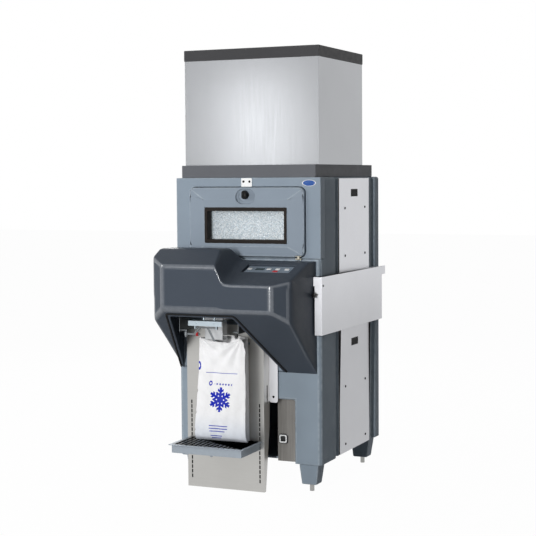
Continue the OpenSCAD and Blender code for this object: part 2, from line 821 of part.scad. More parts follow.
// Stainless panel beside the opening of the lower front, with the switch's cut-out
module inner_panel() color("#b9babb") set_down() difference() {
    block([inner_left, recess_half], [49, 49 + sheet_t], [body_base + 1, recess_top]);
    block([switch_x - 20, switch_x + 20], [48, 52], [switch_z - 20, switch_z + 20]);
    rod_y([48, 52], recess_half - 15, 354, 2.5);
}

module switch_bezel() color("#17181a") set_down() translate([switch_x, 0, switch_z]) difference() {
    union() {
        along_y(43, 49) soft_rect(switch_w, switch_w, 14);
        along_y(43, 66) square(39, center = true);
    }
    along_y(42, 62) square([rocker_w + 2, rocker_w + 2], center = true);
    rod_x([-18, 18], 52, 0, 2 + fit);
}

module rocker_switch() color("#2a2d30") set_down() translate([switch_x, 0, switch_z]) {
    along_x(-rocker_w / 2, rocker_w / 2) polygon([[44, -11], [42, 0], [44, 11], [56, 8], [56, -8]]);
    rod_x([-17, 17], 52, 0, 2);
}

// Two vertical steel rails on the body's front that carry the slotted panel, one beside its
// right flange and one inside its left
module panel_rails() color("#d8d8d6") set_down() for (s = [0, 1])
    translate([bay_x - s * (2 * panel_half - sheet_t), 0, 0]) difference() {
        union() {
            block([panel_half, panel_half + rail_w], [rail_y, rail_y + 3], [rail_low + 12, rail_top]);
            block([panel_half + 12, panel_half + rail_w - 12], [rail_y, rail_y + 3],
                [rail_low, rail_low + 13]);
            rod_y([rail_y, rail_y + 3], panel_half + 12, rail_low + 12, 12);
            rod_y([rail_y, rail_y + 3], panel_half + rail_w - 12, rail_low + 12, 12);
            block([panel_half, panel_half + 3], [rail_y, setback], [rail_low + 12, rail_top]);
        }
        rod_y([rail_y - 1, rail_y + 4], panel_half + 24, rail_low + 30, 4);
    }

module panel_flange() difference() {
    along_x(panel_half - sheet_t, panel_half) polygon([[panel_y, panel_low],
        [panel_y + flange_foot, panel_low], [panel_y + flange_mid, flange_mid_z],
        [flange_back, flange_top_z], [flange_back, panel_top], [panel_y, panel_top]]);
    block([panel_half - 5, panel_half + 1], [panel_y + 37, panel_y + 49],
        [flange_slot_z, flange_slot_z + 95]);
}

// Slotted stainless panel with side flanges, narrower towards the floor
module shelf_panel() color("#c9c9c6") set_down() translate([bay_x, 0, 0]) difference() {
    union() {
        block([-panel_half, panel_half], [panel_y, panel_y + sheet_t], [panel_low, panel_top]);
        both_sides() panel_flange();
    }
    for (s = [-1, 1], k = [0 : slot_count - 1])
        block([s * slot_x - slot_w / 2, s * slot_x + slot_w / 2], [panel_y - 1, panel_y + sheet_t + 1],
            [slot_low + k * slot_pitch - slot_h / 2, slot_low + k * slot_pitch + slot_h / 2]);
    for (s = [-1, 1]) rod_y([panel_y - 1, panel_y + sheet_t + 1], s * panel_hole_x, panel_hole_z, 6);
}

module tray_tongue(row) {
    mid = slot_low + row * slot_pitch;
    foot = mid - slot_h / 2 + seat;
    block([tray_w / 2 - sheet_t, tray_w / 2], [tray_back - 6, panel_y + 7], [foot, mid + 3]);
    block([tray_w / 2 - sheet_t, tray_w / 2], [panel_y + sheet_t + 1, panel_y + 7], [foot - 5, mid]);
}

// Drip tray: open pan with a lip, inner ledges and tongues that hook into the slots
module tray() color("#8fa0ae") set_down() translate([bay_x, 0, 0]) {
    difference() {
        union() {
            block([-tray_w / 2, tray_w / 2], [tray_front, tray_back], [tray_low, tray_top]);
            block([-tray_w / 2 - tray_lip, tray_w / 2 + tray_lip], [tray_front - tray_lip, tray_back],
                [tray_top - lip_t, tray_top]);
        }
        block([-tray_w / 2 + sheet_t, tray_w / 2 - sheet_t], [tray_front + sheet_t, tray_back - sheet_t],
            [tray_low + sheet_t, tray_top + 1]);
    }
    for (y = [tray_front + sheet_t - 1, tray_back - sheet_t - ledge + 1])
        block([-tray_w / 2 + 1, tray_w / 2 - 1], [y, y + ledge],
            [tray_top - grille_h - sheet_t, tray_top - grille_h]);
    both_sides() for (row = [tray_row - 1, tray_row]) tray_tongue(row);
    rod_z([tray_low - 9, tray_low + 1], 20, tray_front + 20, 7);
}

// Black grille in the tray, its slats running front to back
module tray_grille() color("#1b1c1e") set_down() translate([bay_x, 0, tray_top - grille_h]) {
    w = tray_w - 2 * sheet_t - 2 * clearance;
    y0 = tray_front + sheet_t + clearance;
    y1 = tray_back - sheet_t - clearance;
    for (y = [y0, y1 - 5]) block([-w / 2, w / 2], [y, y + 5], [0, grille_h]);
    for (k = [0 : slat_count - 1]) {
        x = -w / 2 + k * (w - slat_w) / (slat_count - 1);
        block([x, x + slat_w], [y0, y1], [3, grille_h]);
    }
}

// Side outlines of the hood's tall left and low right parts, w inside the skin
function tall_side(w) = [[hood_back + w, hood_tip + 1.5 * w], [-hood_reach + w, hood_lip + 0.55 * w],
    [-hood_reach + w, crease_tall - 0.65 * w], [roof_front + 0.25 * w, roof_tall - w],
    [roof_rear - 0.25 * w, roof_tall - w], [roof_low_rear, roof_low - w], [hood_back + w, roof_low - w]];
function low_side(w) = [[hood_back + w, hood_tip + 1.5 * w], [-hood_reach + w, hood_lip + 0.55 * w],
    [-hood_reach + w, crease_low - 0.75 * w], [roof_low_front + 0.15 * w, roof_low - w],
    [hood_back + w, roof_low - w]];

// Front outline of the tall part: it steps down in an S to the low part
function step_curve(w, n) = [for (k = [0 : n]) let (t = k / n, s = t * t * (3 - 2 * t))
    [step_top_x - w + t * (step_foot_x - step_top_x),
        roof_tall + 10 - s * (roof_tall + 10 - crease_low + 12)]];
module tall_front(w) {
    polygon(concat([[-body_w, crease_low - 12], [-body_w, roof_tall + 10]], step_curve(w, 12)));
}

// Plan of the hood with its chamfered front corners, and its slightly drafted sides
module hood_plan(w) {
    polygon([[-hood_side + w, hood_back + 2 * w], [-hood_side + w, side_front + 0.4 * w],
        [-hood_face + 0.4 * w, -hood_reach + w], [hood_face - 0.4 * w, -hood_reach + w],
        [hood_side - w, side_front + 0.4 * w], [hood_side - w, hood_back + 2 * w]]);
}
module hood_draft(w) {
    polygon([[-hood_side + w, 500], [hood_side - w, 500], [hood_side - w - draft, roof_tall + 20],
        [-hood_side + w + draft, roof_tall + 20]]);
}

module hood_form(w) intersection() {
    along_z(500, roof_tall + 20) hood_plan(w);
    along_y(-hood_reach - 10, hood_back + 20) hood_draft(w);
    union() {
        along_x(-hood_side - 5, hood_side + 5) polygon(low_side(w));
        intersection() {
            along_x(-hood_side - 5, hood_side + 5) polygon(tall_side(w));
            along_y(-hood_reach - 10, hood_back + 20) tall_front(w);
        }
    }
}

// Mouth of the hood in its slanting underside, wider towards the cabinet
module hood_mouth() {
    along_z(500, 962) polygon([[bay_x - mouth_top_half, mouth_top_y], [bay_x + mouth_top_half, mouth_top_y],
        [bay_x + mouth_right_half, hood_back + 1], [bay_x - mouth_left_half, hood_back + 1]]);
}

module on_roof() {
    translate([pocket_x, pocket_y, crease_low + (pocket_y + hood_reach) * low_slope])
        rotate([low_tilt, 0, 0]) children();
}

// Moulded hood over the bagging bay: open behind and in its mouth, pocketed for the keys
module hood() color("#454b55") set_down() difference() {
    union() {
        difference() {
            hood_form(0);
            difference() {
                union() {
                    hood_form(hood_t);
                    intersection() {
                        translate([0, 2 * hood_t, 0]) hood_form(hood_t);
                        block([-body_w, body_w], [hood_back - 60, hood_back + 20], [600, 1200]);
                    }
                }
                on_roof() block([-pocket_w / 2 - hood_t, pocket_w / 2 + hood_t],
                    [-pocket_len / 2 - hood_t, pocket_len / 2 + hood_t], [-pocket_depth - hood_t, 30]);
            }
        }
    }
    on_roof() block([-pocket_w / 2, pocket_w / 2], [-pocket_len / 2, pocket_len / 2], [-pocket_depth, 60]);
    hood_mouth();
}

key_x = [-108, -3, 45, 96];
stop_x = 42;

// Plate with the keys' holes, lying on the pocket's floor
module control_panel() color("#5b6166") set_down() on_roof() translate([0, 0, -pocket_depth]) difference() {
    block([-keys_w / 2, keys_w / 2], [-keys_len / 2, keys_len / 2], [0, keys_t]);
    for (x = key_x) block([x - 12, x + 12], [2, 20], [2, keys_t + 1]);
    block([stop_x - 14, stop_x + 14], [-26, -8], [2, keys_t + 1]);
    block([-76, -28], [-4, 22], [keys_t - 3, keys_t + 1]);
}

module display_window() color("#10201f") set_down() on_roof()
    block([-76, -28], [-4, 22], [-pocket_depth + keys_t - 3, -pocket_depth + keys_t + 0.5]);

module key_cap(x, y, w, h) {
    block([x - w / 2 + seat, x + w / 2 - seat], [y - h / 2 + seat, y + h / 2 - seat],
        [-pocket_depth + 2 + key_travel + seat, -pocket_depth + keys_t + 2]);
}

module start_button() color("#e8e8e6") set_down() on_roof() key_cap(key_x[0], 11, 24, 18);
module size_button() color("#e8e8e6") set_down() on_roof() key_cap(key_x[1], 11, 24, 18);
module count_button() color("#e8e8e6") set_down() on_roof() key_cap(key_x[2], 11, 24, 18);
module clean_button() color("#e8e8e6") set_down() on_roof() key_cap(key_x[3], 11, 24, 18);
module stop_button() color("#c4262b") set_down() on_roof() key_cap(stop_x, -17, 28, 18);

// Steel side plates inside the hood that carry the chute's drive and the bag arms
module mechanism_frame() color("#777b7f") set_down() for (s = [-1, 1])
    translate([bay_x, 0, 0]) mirror([s < 0 ? 1 : 0, 0, 0]) {
        block([frame_half, frame_half + 3], [arm_y - 27, panel_y - 6], [frame_low, frame_top]);
        block([frame_half, frame_half + 3], [panel_y - 7, setback], [panel_top + 4, frame_top]);
        block([frame_half, frame_half + 24], [setback - 3, setback], [panel_top + 4, frame_top]);
        block([frame_half - 34, frame_half + 1], [arm_y - 14, arm_y + 14], [frame_low + 5, frame_low + 10]);
        block([frame_half - 96, frame_half + 1], [setback - 48, setback - 8], [frame_top - 4, frame_top]);
        rod_z([frame_low - 26, frame_low + 7], arm_reach, arm_y, arm_pin_r);
        rod_z([frame_low - 29, frame_low - 25], arm_reach, arm_y, 7);
    }

// Tube from the bin to the bay, its closed end, and the spout that drops ice into the bag
module ice_chute() color("#c4c6c8") set_down() difference() {
    union() {
        rod_y([tube_front, cavity_front + liner_t], bay_x, auger_z, tube_r);
        block([bay_x - spout_w / 2, bay_x + spout_w / 2], [spout_front, spout_back], [spout_low, auger_z]);
        block([bay_x - spout_w / 2, bay_x + spout_w / 2], [spout_front, spout_front + 40],
            [auger_z - 40, auger_z]);
    }
    rod_y([spout_front + tube_t, cavity_front + liner_t + 1], bay_x, auger_z, tube_r - tube_t);
    block([bay_x - spout_w / 2 + tube_t, bay_x + spout_w / 2 - tube_t],
        [spout_front + tube_t, spout_back - tube_t], [spout_low - 1, auger_z]);
    rod_y([spout_front - 1, spout_front + tube_t + 1], bay_x, auger_z, shaft_r + fit);
}

// Auger: shaft with one long ribbon flight
module auger() color("#b7babc") set_down() {
    rod_y([spout_front - 20, cavity_back + 19], bay_x, auger_z, shaft_r);
    translate([bay_x, cavity_back - liner_t - 6, auger_z]) rotate([90, 0, 0])
        linear_extrude(height = cavity_back - liner_t - 6 - spout_back, twist = -360 * 6, slices = 96,
            segments = 4) translate([shaft_r - 2, -2]) square([auger_r - shaft_r + 2, 4]);
}

// Gearbox and motor on the chute's closed end
module auger_motor() color("#34373a") set_down() {
    difference() {
        block([bay_x - 50, bay_x + 50], [spout_front - drive_out, spout_front], [auger_z - 30, auger_z + 50]);
        rod_y([spout_front - 21, spout_front + 1], bay_x, auger_z, shaft_r + fit);
    }
    rod_y([spout_front - drive_out - motor_len, spout_front - drive_out], bay_x, auger_z + 13, motor_r);
}

// Steel channel over the bag, with its two standoffs and the ears for the opener
module bag_bar() color("#b9c3c9") set_down() translate([bay_x, 0, 0]) difference() {
    union() {
        block([-bar_half, bar_half], [bar_y, bar_y + 2], [bar_low, bar_low + bar_h]);
        block([-bar_half, bar_half], [bar_y, bar_y + 62], [bar_low + bar_h - 2, bar_low + bar_h]);
        for (s = [-1, 1]) {
            rod_z([bar_low + bar_h - 1, auger_z - 30], s * 30, spout_front - 50, 6);
            block([s * 60 - 3, s * 60 + 3], [opener_y - 8, opener_y + 8],
                [opener_z - 8, bar_low + bar_h - 1]);
            rod_y([bar_y - 2, bar_y], s * 50, bar_low + bar_h / 2, 4);
        }
    }
    rod_x([-70, 70], opener_y, opener_z, 3 + fit);
}

module opener_leg(x0, x1, z1) {
    hull() {
        block([x0 - 5, x0 + 5], [opener_y - 1.5, opener_y + 1.5], [opener_z - 3, opener_z + 2]);
        block([x1 - 5, x1 + 5], [opener_y - 1.5, opener_y + 1.5], [z1 - 2, z1 + 2]);
    }
}

// Swinging fork that opens the bag's mouth
module bag_opener() color("#4b4e51") set_down() translate([bay_x, 0, 0]) {
    rod_x([-66, 66], opener_y, opener_z, 3);
    opener_leg(-34, -72, opener_z - 39);
    opener_leg(10, 46, opener_z - 66);
}

module arm_hub(z0, z1) {
    difference() {
        rod_z([z0, z1], 0, 0, 9);
        rod_z([z0 - 1, z1 + 1], 0, 0, arm_pin_r + fit);
    }
}

// Left bag arm, a flat bar with a red sleeve near its end
module arm_left() color("#5f666b") set_down() translate([bay_x - arm_reach, arm_y, frame_low - 22]) {
    arm_hub(0, 21);
    block([8.5, 80], [-3, 3], [4, 15]);
    block([58, 70], [-6, 6], [0.5, 19]);
}

// Right bag arm, a bright rod with a black hub
module arm_right() color("#cfd2d4") set_down() translate([bay_x + arm_reach, arm_y, frame_low - 22]) {
    arm_hub(0, 21);
    rod_x([-76, -8.5], 0, 11, 4);
}

function bag_ring(z, w, y0, y1) = [z, w, y0, y1];
bag_back = panel_y - 7;
bag_rings = [bag_ring(bag_low, bag_w - 20, bag_back - 63, bag_back - 3),
    bag_ring(bag_low + 70, bag_w, bag_back - 89, bag_back),
    bag_ring(bag_low + 330, bag_w, bag_back - 99, bag_back),
    bag_ring(bag_top, bag_w - 36, bag_back - 123, bag_back - 5)];

module bag_slice(ring) {
    r = (ring[3] - ring[2]) / 2 - 4;
    translate([0, (ring[2] + ring[3]) / 2, ring[0]]) linear_extrude(0.5)
        soft_rect(ring[1], ring[3] - ring[2], r);
}

// Ice bag: a plain closed form that stands on the grille under the spout
module bag() color("#f4f5f7") set_down() translate([bay_x, 0, 0]) {
    for (k = [0 : len(bag_rings) - 2]) hull() {
        bag_slice(bag_rings[k]);
        bag_slice(bag_rings[k + 1]);
    }
}

cabinet_body();
bin_liner();
front_fascia();
bin_top_plate();
legs();
leveling_feet();
upper_side_covers();
side_cover_left();
side_cover_right();
cover_plugs();
cover_screws();
star_knob_left();
star_knob_right();
badge_plate();
ice_load();
access_door();
door_seal();
window_gasket();
window_pane();
door_leaves();
door_hinges();
latch_strike();
latch_knob();
machine_base();
machine_front();
machine_left();
machine_right();
machine_back();
machine_lid();
evaporator();
water_curtain();
water_trough();
compressor();
condenser();
condenser_fan();
fan_motor();
inner_panel();
switch_bezel();
rocker_switch();
panel_rails();
shelf_panel();
tray();
tray_grille();
hood();
control_panel();
display_window();
start_button();
size_button();
count_button();
clean_button();
stop_button();
mechanism_frame();
ice_chute();
auger();
auger_motor();
bag_bar();
bag_opener();
arm_left();
arm_right();
bag();
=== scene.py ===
# Looks of a floor-standing ice bagger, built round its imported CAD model: an insulated ice
# bin with a window door, an ice machine on top, and a bagging hood with chute, slotted
# panel, drip tray and bag on its front. Metres, +Z up, +Y towards the back.
import json
import math

import bmesh
import bpy
from mathutils import Matrix, Vector

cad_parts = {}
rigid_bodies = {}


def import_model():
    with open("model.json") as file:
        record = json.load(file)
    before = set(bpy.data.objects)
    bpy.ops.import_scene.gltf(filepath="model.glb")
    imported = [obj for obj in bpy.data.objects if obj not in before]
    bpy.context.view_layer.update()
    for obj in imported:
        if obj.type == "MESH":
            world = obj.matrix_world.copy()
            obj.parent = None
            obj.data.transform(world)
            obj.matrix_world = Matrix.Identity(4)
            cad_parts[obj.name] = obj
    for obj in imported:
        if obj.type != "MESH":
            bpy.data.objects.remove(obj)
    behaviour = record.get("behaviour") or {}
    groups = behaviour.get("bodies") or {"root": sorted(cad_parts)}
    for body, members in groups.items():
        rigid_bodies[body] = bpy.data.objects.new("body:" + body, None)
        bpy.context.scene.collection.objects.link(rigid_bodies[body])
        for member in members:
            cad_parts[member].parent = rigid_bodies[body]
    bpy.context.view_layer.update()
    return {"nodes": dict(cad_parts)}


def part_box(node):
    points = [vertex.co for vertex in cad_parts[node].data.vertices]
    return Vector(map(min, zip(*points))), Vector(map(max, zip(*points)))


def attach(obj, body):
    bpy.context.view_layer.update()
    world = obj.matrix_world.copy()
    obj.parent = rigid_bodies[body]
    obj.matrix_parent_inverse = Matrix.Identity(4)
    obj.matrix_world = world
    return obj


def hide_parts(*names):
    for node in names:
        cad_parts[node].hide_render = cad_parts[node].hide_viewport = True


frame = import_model()
nodes = frame["nodes"]
scene = bpy.context.scene

# Camera: it stands in front and to the right of the bagger, at chest height, where the
# photograph's camera stood. Heights and depths below count from the fascia's face.
FACE = -0.2745
scene.view_settings.view_transform = "Standard"
eye = Vector((2.98467, -6.46528 + FACE, 1.63083))
turn, nod, lean = (math.radians(angle) for angle in (23.92, 3.81, 0.41))
ahead = Vector((-math.sin(turn) * math.cos(nod), math.cos(turn) * math.cos(nod), -math.sin(nod)))
level = Vector((math.cos(turn), math.sin(turn), 0))
down = ahead.cross(level)
right = level * math.cos(lean) + down * math.sin(lean)
up = level * math.sin(lean) - down * math.cos(lean)
lens = bpy.data.cameras.new("camera")
lens.sensor_width = 36
lens.lens = 92.385
camera = bpy.data.objects.new("camera", lens)
camera.matrix_world = Matrix.Translation(eye) @ Matrix((right, up, -ahead)).transposed().to_4x4()
scene.collection.objects.link(camera)
scene.camera = camera


# Studio: a plain white floor and backdrop, a large soft lamp at the front left, a tall narrow
# one near the camera that draws the rounded edges, one whose reflection glows on the steel,
# and one behind.
def put(tree, kind, sockets=None, **settings):
    """Adds a node; each socket is given a value or another node's output."""
    node = tree.nodes.new(kind)
    for key, value in settings.items():
        setattr(node, key, value)
    for key, value in (sockets or {}).items():
        if isinstance(value, bpy.types.NodeSocket):
            tree.links.new(value, node.inputs[key])
        else:
            node.inputs[key].default_value = value
    return node


def place(name, mesh):
    """Puts a mesh, given as a mesh or a bmesh, in the scene as an object at the origin."""
    if isinstance(mesh, bmesh.types.BMesh):
        drawn, mesh = mesh, bpy.data.meshes.new(name)
        drawn.to_mesh(mesh)
        drawn.free()
    item = bpy.data.objects.new(name, mesh)
    scene.collection.objects.link(item)
    return item


def seen_directly(tree):
    """Is 1 for camera, glossy and transmission rays, and 0 for the rest."""
    ray = put(tree, "ShaderNodeLightPath")
    either = put(tree, "ShaderNodeMath", {0: ray.outputs["Is Camera Ray"],
                 1: ray.outputs["Is Glossy Ray"]}, operation="MAXIMUM")
    return put(tree, "ShaderNodeMath", {0: either.outputs[0],
               1: ray.outputs["Is Transmission Ray"]}, operation="MAXIMUM").outputs[0]


SKY_LIGHT = 0.12
world = bpy.data.worlds.new("studio")
scene.world = world
world.use_nodes = True
sky = world.node_tree
sky_level = put(sky, "ShaderNodeMapRange", {"Value": seen_directly(sky), "To Min": SKY_LIGHT,
                "To Max": 1.0})
backdrop = sky.nodes["Background"]
backdrop.inputs["Color"].default_value = (1, 1, 1, 1)
sky.links.new(sky_level.outputs[0], backdrop.inputs["Strength"])

FLOOR_GREY, FLOOR_GLOW, GLOW_SHARE, FLOOR_REACH = 0.5, 1.03, 0.95, 30
floor_paint = bpy.data.materials.new("studio_floor")
floor_paint.use_nodes = True
floor_tree = floor_paint.node_tree
floor_shader = floor_tree.nodes["Principled BSDF"]
floor_shader.inputs["Base Color"].default_value = (FLOOR_GREY, FLOOR_GREY, FLOOR_GREY, 1)
floor_shader.inputs["Roughness"].default_value = 0.9
floor_shader.inputs["Specular IOR Level"].default_value = 0.0
floor_glow = put(floor_tree, "ShaderNodeEmission", {"Color": (1, 1, 1, 1), "Strength": FLOOR_GLOW})
floor_share = put(floor_tree, "ShaderNodeMath", {0: seen_directly(floor_tree), 1: GLOW_SHARE},
                  operation="MULTIPLY")
floor_mix = put(floor_tree, "ShaderNodeMixShader", {0: floor_share.outputs[0],
                1: floor_shader.outputs[0], 2: floor_glow.outputs[0]})
floor_tree.links.new(floor_mix.outputs[0], floor_tree.nodes["Material Output"].inputs["Surface"])
floor_corners = [(x * FLOOR_REACH, y * FLOOR_REACH, 0) for x, y in ((-1, -1), (1, -1), (1, 1), (-1, 1))]
floor_mesh = bpy.data.meshes.new("studio_floor")
floor_mesh.from_pydata(floor_corners, [], [(0, 1, 2, 3)])
studio_floor = place("studio_floor", floor_mesh)
floor_mesh.materials.append(floor_paint)

# Each lamp: where it stands, what it points at, its width and height, and its power
LAMPS = {
    "key": ((-5.0, -3.2, 3.1), (0.0, 0.0, 1.1), (2.0, 2.0), 115),
    "front": ((0.65, -7.6, 2.0), (0.1, FACE, 1.1), (0.4, 2.2), 310),
    "steel_glow": ((-1.76, -4.25, 2.03), (0.05, FACE + 0.055, 1.88), (0.5, 0.9), 4.2),
    "back": ((-2.6, 4.4, 3.2), (0.0, 0.2, 1.2), (2.0, 2.0), 60),
}
for name, (spot, target, size, power) in LAMPS.items():
    lamp = bpy.data.lights.new(name, "AREA")
    lamp.shape = "RECTANGLE"
    lamp.size, lamp.size_y = size
    lamp.energy = power
    holder = bpy.data.objects.new(name, lamp)
    holder.location = spot
    holder.rotation_euler = (Vector(target) - Vector(spot)).to_track_quat("-Z", "Y").to_euler()
    scene.collection.objects.link(holder)


# Bin cabinet: one hollow polyethylene moulding filled with foam, its skin blue-grey with a
# fine grain, its corners generously rounded, its sides grooved to stiffen them.
def tone(code):
    """Linear colour of a six-figure screen colour."""
    parts = [int(code[k:k + 2], 16) / 255 for k in (0, 2, 4)]
    return [p / 12.92 if p <= 0.04045 else ((p + 0.055) / 1.055) ** 2.4 for p in parts] + [1.0]


def new_group(name, inputs, outputs, kind="ShaderNodeTree"):
    """Starts a node group with named inputs and outputs: returns it and its two ends."""
    group = bpy.data.node_groups.new(name, kind)
    for label, socket_kind, value in inputs:
        socket = group.interface.new_socket(label, in_out="INPUT", socket_type="NodeSocket" + socket_kind)
        if value is not None:
            socket.default_value = value
    for label, socket_kind in outputs:
        group.interface.new_socket(label, in_out="OUTPUT", socket_type="NodeSocket" + socket_kind)
    return group, put(group, "NodeGroupInput"), put(group, "NodeGroupOutput")


def shifted(tree, colour, amount, noise):
    """Colour made lighter and darker by a noise of 0 to 1, by up to half the amount."""
    swing = put(tree, "ShaderNodeMath", {0: noise, 1: -0.5}, operation="ADD")
    scaled = put(tree, "ShaderNodeMath", {0: swing.outputs[0], 1: amount, 2: 1.0}, operation="MULTIPLY_ADD")
    return put(tree, "ShaderNodeHueSaturation", {"Value": scaled.outputs[0], "Color": colour}).outputs[0]


def noise_of(tree, where, scale, detail=3.0):
    """A noise pattern stretched to fill 0 to 1."""
    raw = put(tree, "ShaderNodeTexNoise", {"Vector": where, "Scale": scale, "Detail": detail})
    full = put(tree, "ShaderNodeMapRange", {"Value": raw.outputs[0], "From Min": 0.3, "From Max": 0.7})
    return full.outputs[0]


def end_effect(group, outs, colour, roughness, height):
    """Leads an effect's colour, roughness and height out of its group."""
    for label, value in (("Colour", colour), ("Roughness", roughness), ("Height", height)):
        group.links.new(value, outs.inputs[label])


SURFACE_OUTPUTS = [("Colour", "Color"), ("Roughness", "Float"), ("Height", "Float")]
MOULDED, ends, outs = new_group("moulded_skin", [
    ("Colour", "Color", (0.3, 0.3, 0.3, 1)), ("Rubbed and highlit colour", "Color", (0.5, 0.5, 0.5, 1)),
    ("Mottling", "Float", 0.08), ("Grain size", "Float", 900.0),
    ("Sheen low", "Float", 0.4), ("Sheen high", "Float", 0.55)], SURFACE_OUTPUTS)
spot_on = put(MOULDED, "ShaderNodeTexCoord").outputs["Object"]
clouds = noise_of(MOULDED, spot_on, 5.0)
mottled = shifted(MOULDED, ends.outputs["Colour"], ends.outputs["Mottling"], clouds)
handled = noise_of(MOULDED, spot_on, 38.0, 5.0)
# Marked edge faces take the paler colour: wear, and a painted highlight.
edge = put(MOULDED, "ShaderNodeAttribute", attribute_name="edge").outputs["Fac"]
worn_and_highlit = put(MOULDED, "ShaderNodeMath", {0: edge, 1: handled}, operation="MULTIPLY")
rubbed_and_highlit = put(MOULDED, "ShaderNodeMix", {"Factor": worn_and_highlit.outputs[0], 6: mottled,
             7: ends.outputs["Rubbed and highlit colour"]}, data_type="RGBA")
gloss = put(MOULDED, "ShaderNodeMapRange", {"Value": handled, "To Min": ends.outputs["Sheen low"],
            "To Max": ends.outputs["Sheen high"]})
grain = put(MOULDED, "ShaderNodeTexNoise", {"Vector": spot_on, "Scale": ends.outputs["Grain size"],
            "Detail": 2.0})
end_effect(MOULDED, outs, rubbed_and_highlit.outputs[2], gloss.outputs[0], grain.outputs[0])


def blank_material(name, colour, specular=0.5):
    """Starts a material: returns it, its nodes and its shader."""
    made = bpy.data.materials.new(name)
    made.use_nodes = True
    shader = made.node_tree.nodes["Principled BSDF"]
    shader.inputs["Base Color"].default_value = tone(colour)
    shader.inputs["Specular IOR Level"].default_value = specular
    made.diffuse_color = tone(colour)
    return made, made.node_tree, shader


def join_effect(tree, shader, group, values, relief, depth):
    """Sets a surface group in a material with its own values, and feeds the shader from it."""
    effect = put(tree, "ShaderNodeGroup", values, node_tree=group)
    tree.links.new(effect.outputs["Colour"], shader.inputs["Base Color"])
    tree.links.new(effect.outputs["Roughness"], shader.inputs["Roughness"])
    bump = put(tree, "ShaderNodeBump", {"Strength": relief, "Distance": depth,
               "Height": effect.outputs["Height"]})
    tree.links.new(bump.outputs[0], shader.inputs["Normal"])


def moulded_plastic(name, colour, rubbed_and_highlit_colour, sheen=(0.42, 0.58), mottling=0.08, grain_size=900.0,
                    relief=0.25, specular=0.14):
    """Moulded plastic or rubber: its colour, paler at its edges as wear and as a painted highlight, and its
    sheen.
    """
    made, tree, shader = blank_material(name, colour, specular)
    join_effect(tree, shader, MOULDED, {
        "Colour": tone(colour), "Rubbed and highlit colour": tone(rubbed_and_highlit_colour), "Mottling": mottling,
        "Grain size": grain_size, "Sheen low": sheen[0], "Sheen high": sheen[1]}, relief, 0.0004)
    return made


def settled(item, name):
    """The item with its modifiers worked into a plain mesh, under a new name."""
    bpy.context.view_layer.update()
    evaluated = item.evaluated_get(bpy.context.evaluated_depsgraph_get())
    mesh = bpy.data.meshes.new_from_object(evaluated, preserve_all_data_layers=True,
                                           depsgraph=bpy.context.evaluated_depsgraph_get())
    bpy.data.objects.remove(item)
    mesh.name = name
    return place(name, mesh)


def round_edges(item, name, width, segments=3):
    """Bevels the item's weighted edges, and marks the new faces for the edge wear and the painted edge
    highlight.
    """
    item.data.materials.append(bpy.data.materials.new("rim"))
    bevel = item.modifiers.new("rounding", "BEVEL")
    bevel.limit_method = "WEIGHT"
    bevel.width = width
    bevel.segments = segments
    bevel.use_clamp_overlap = False
    bevel.material = len(item.data.materials) - 1
    bevel.loop_slide = False
    item.modifiers.new("shading", "WEIGHTED_NORMAL").keep_sharp = False
    made = settled(item, name)
    rim = len(made.data.materials) - 1
    mark = made.data.attributes.new("edge", "FLOAT", "FACE")
    for face in made.data.polygons:
        mark.data[face.index].value = float(face.material_index == rim)
        face.material_index = 0
    made.data.materials.clear()
    return made


def rounded(node, width, share=lambda edge: 1.0, segments=3, sharp=28, cuts=()):
    """A clean copy of a CAD node, its edges rounded to the width, or as far as they have room.
    Cuts, (axis, place) pairs through its openings, keep each flat face free of holes."""
    drawn = bmesh.new()
    drawn.from_mesh(nodes[node].data)
    bmesh.ops.remove_doubles(drawn, verts=drawn.verts, dist=1e-5)
    for axis, spot in cuts:
        across = Vector([float(letter == axis) for letter in "xyz"])
        line = bmesh.ops.bisect_plane(drawn, geom=drawn.verts[:] + drawn.edges[:] + drawn.faces[:],
                                      dist=1e-6, plane_co=across * spot, plane_no=across)
        for part in line["geom_cut"]:
            if isinstance(part, bmesh.types.BMEdge):
                part.seam = True
    bmesh.ops.dissolve_limit(drawn, angle_limit=math.radians(0.6), verts=drawn.verts, edges=drawn.edges,
                             delimit={"SEAM"})
    weight = drawn.edges.layers.float.new("bevel_weight_edge")
    for edge in drawn.edges:
        if len(edge.link_faces) == 2 and edge.calc_face_angle(0.0) > math.radians(sharp):
            room = min(face.calc_area() / max(edge.calc_length(), 1e-5) for face in edge.link_faces)
            edge[weight] = max(0.0, min(share(edge), 0.38 * room / width))
    for face in drawn.faces:
        face.smooth = True
    copy = place(node + "_copy", drawn)
    copy.data.materials.append(bpy.data.materials.new("body"))
    return round_edges(copy, node + "_made", width, segments)


def fit_piece(item, body, material, slot, *replaced):
    """Gives a finished piece its material and body, and hides the solids it stands for; its slot is not
    used.
    """
    if material is not None:
        item.data.materials.clear()
        item.data.materials.append(material)
    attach(item, body)
    if replaced:
        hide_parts(*replaced)
    return item


def fit_node(node, width, body, material, slot):
    """Puts a rounded copy of a CAD node in the node's place."""
    fit_piece(rounded(node, width), body, material, slot, node)


BLUE_GREY = moulded_plastic("blue_grey_moulding", "8f9ca8", "a9b4bd", specular=0.1)
body_cuts = [("x", side * x) for x in (0.257, 0.3, 0.378) for side in (-1, 1)] + [("x", -0.098)]
body_cuts += [("z", z) for z in (0.160, 0.480, 0.955, 1.211, 1.244, 1.55)]
body_cuts += [("y", FACE + y) for y in (0.06, 0.1, 0.12)]
cabinet = rounded("cabinet_body", 0.012, cuts=body_cuts)
fit_piece(cabinet, "frame", BLUE_GREY, "moulding_dark", "cabinet_body")

# Legs and feet: four tapered hollow mouldings under the corners, each with a plated screw
# foot for levelling.
fit_node("legs", 0.006, "frame", BLUE_GREY, "moulding_blue")


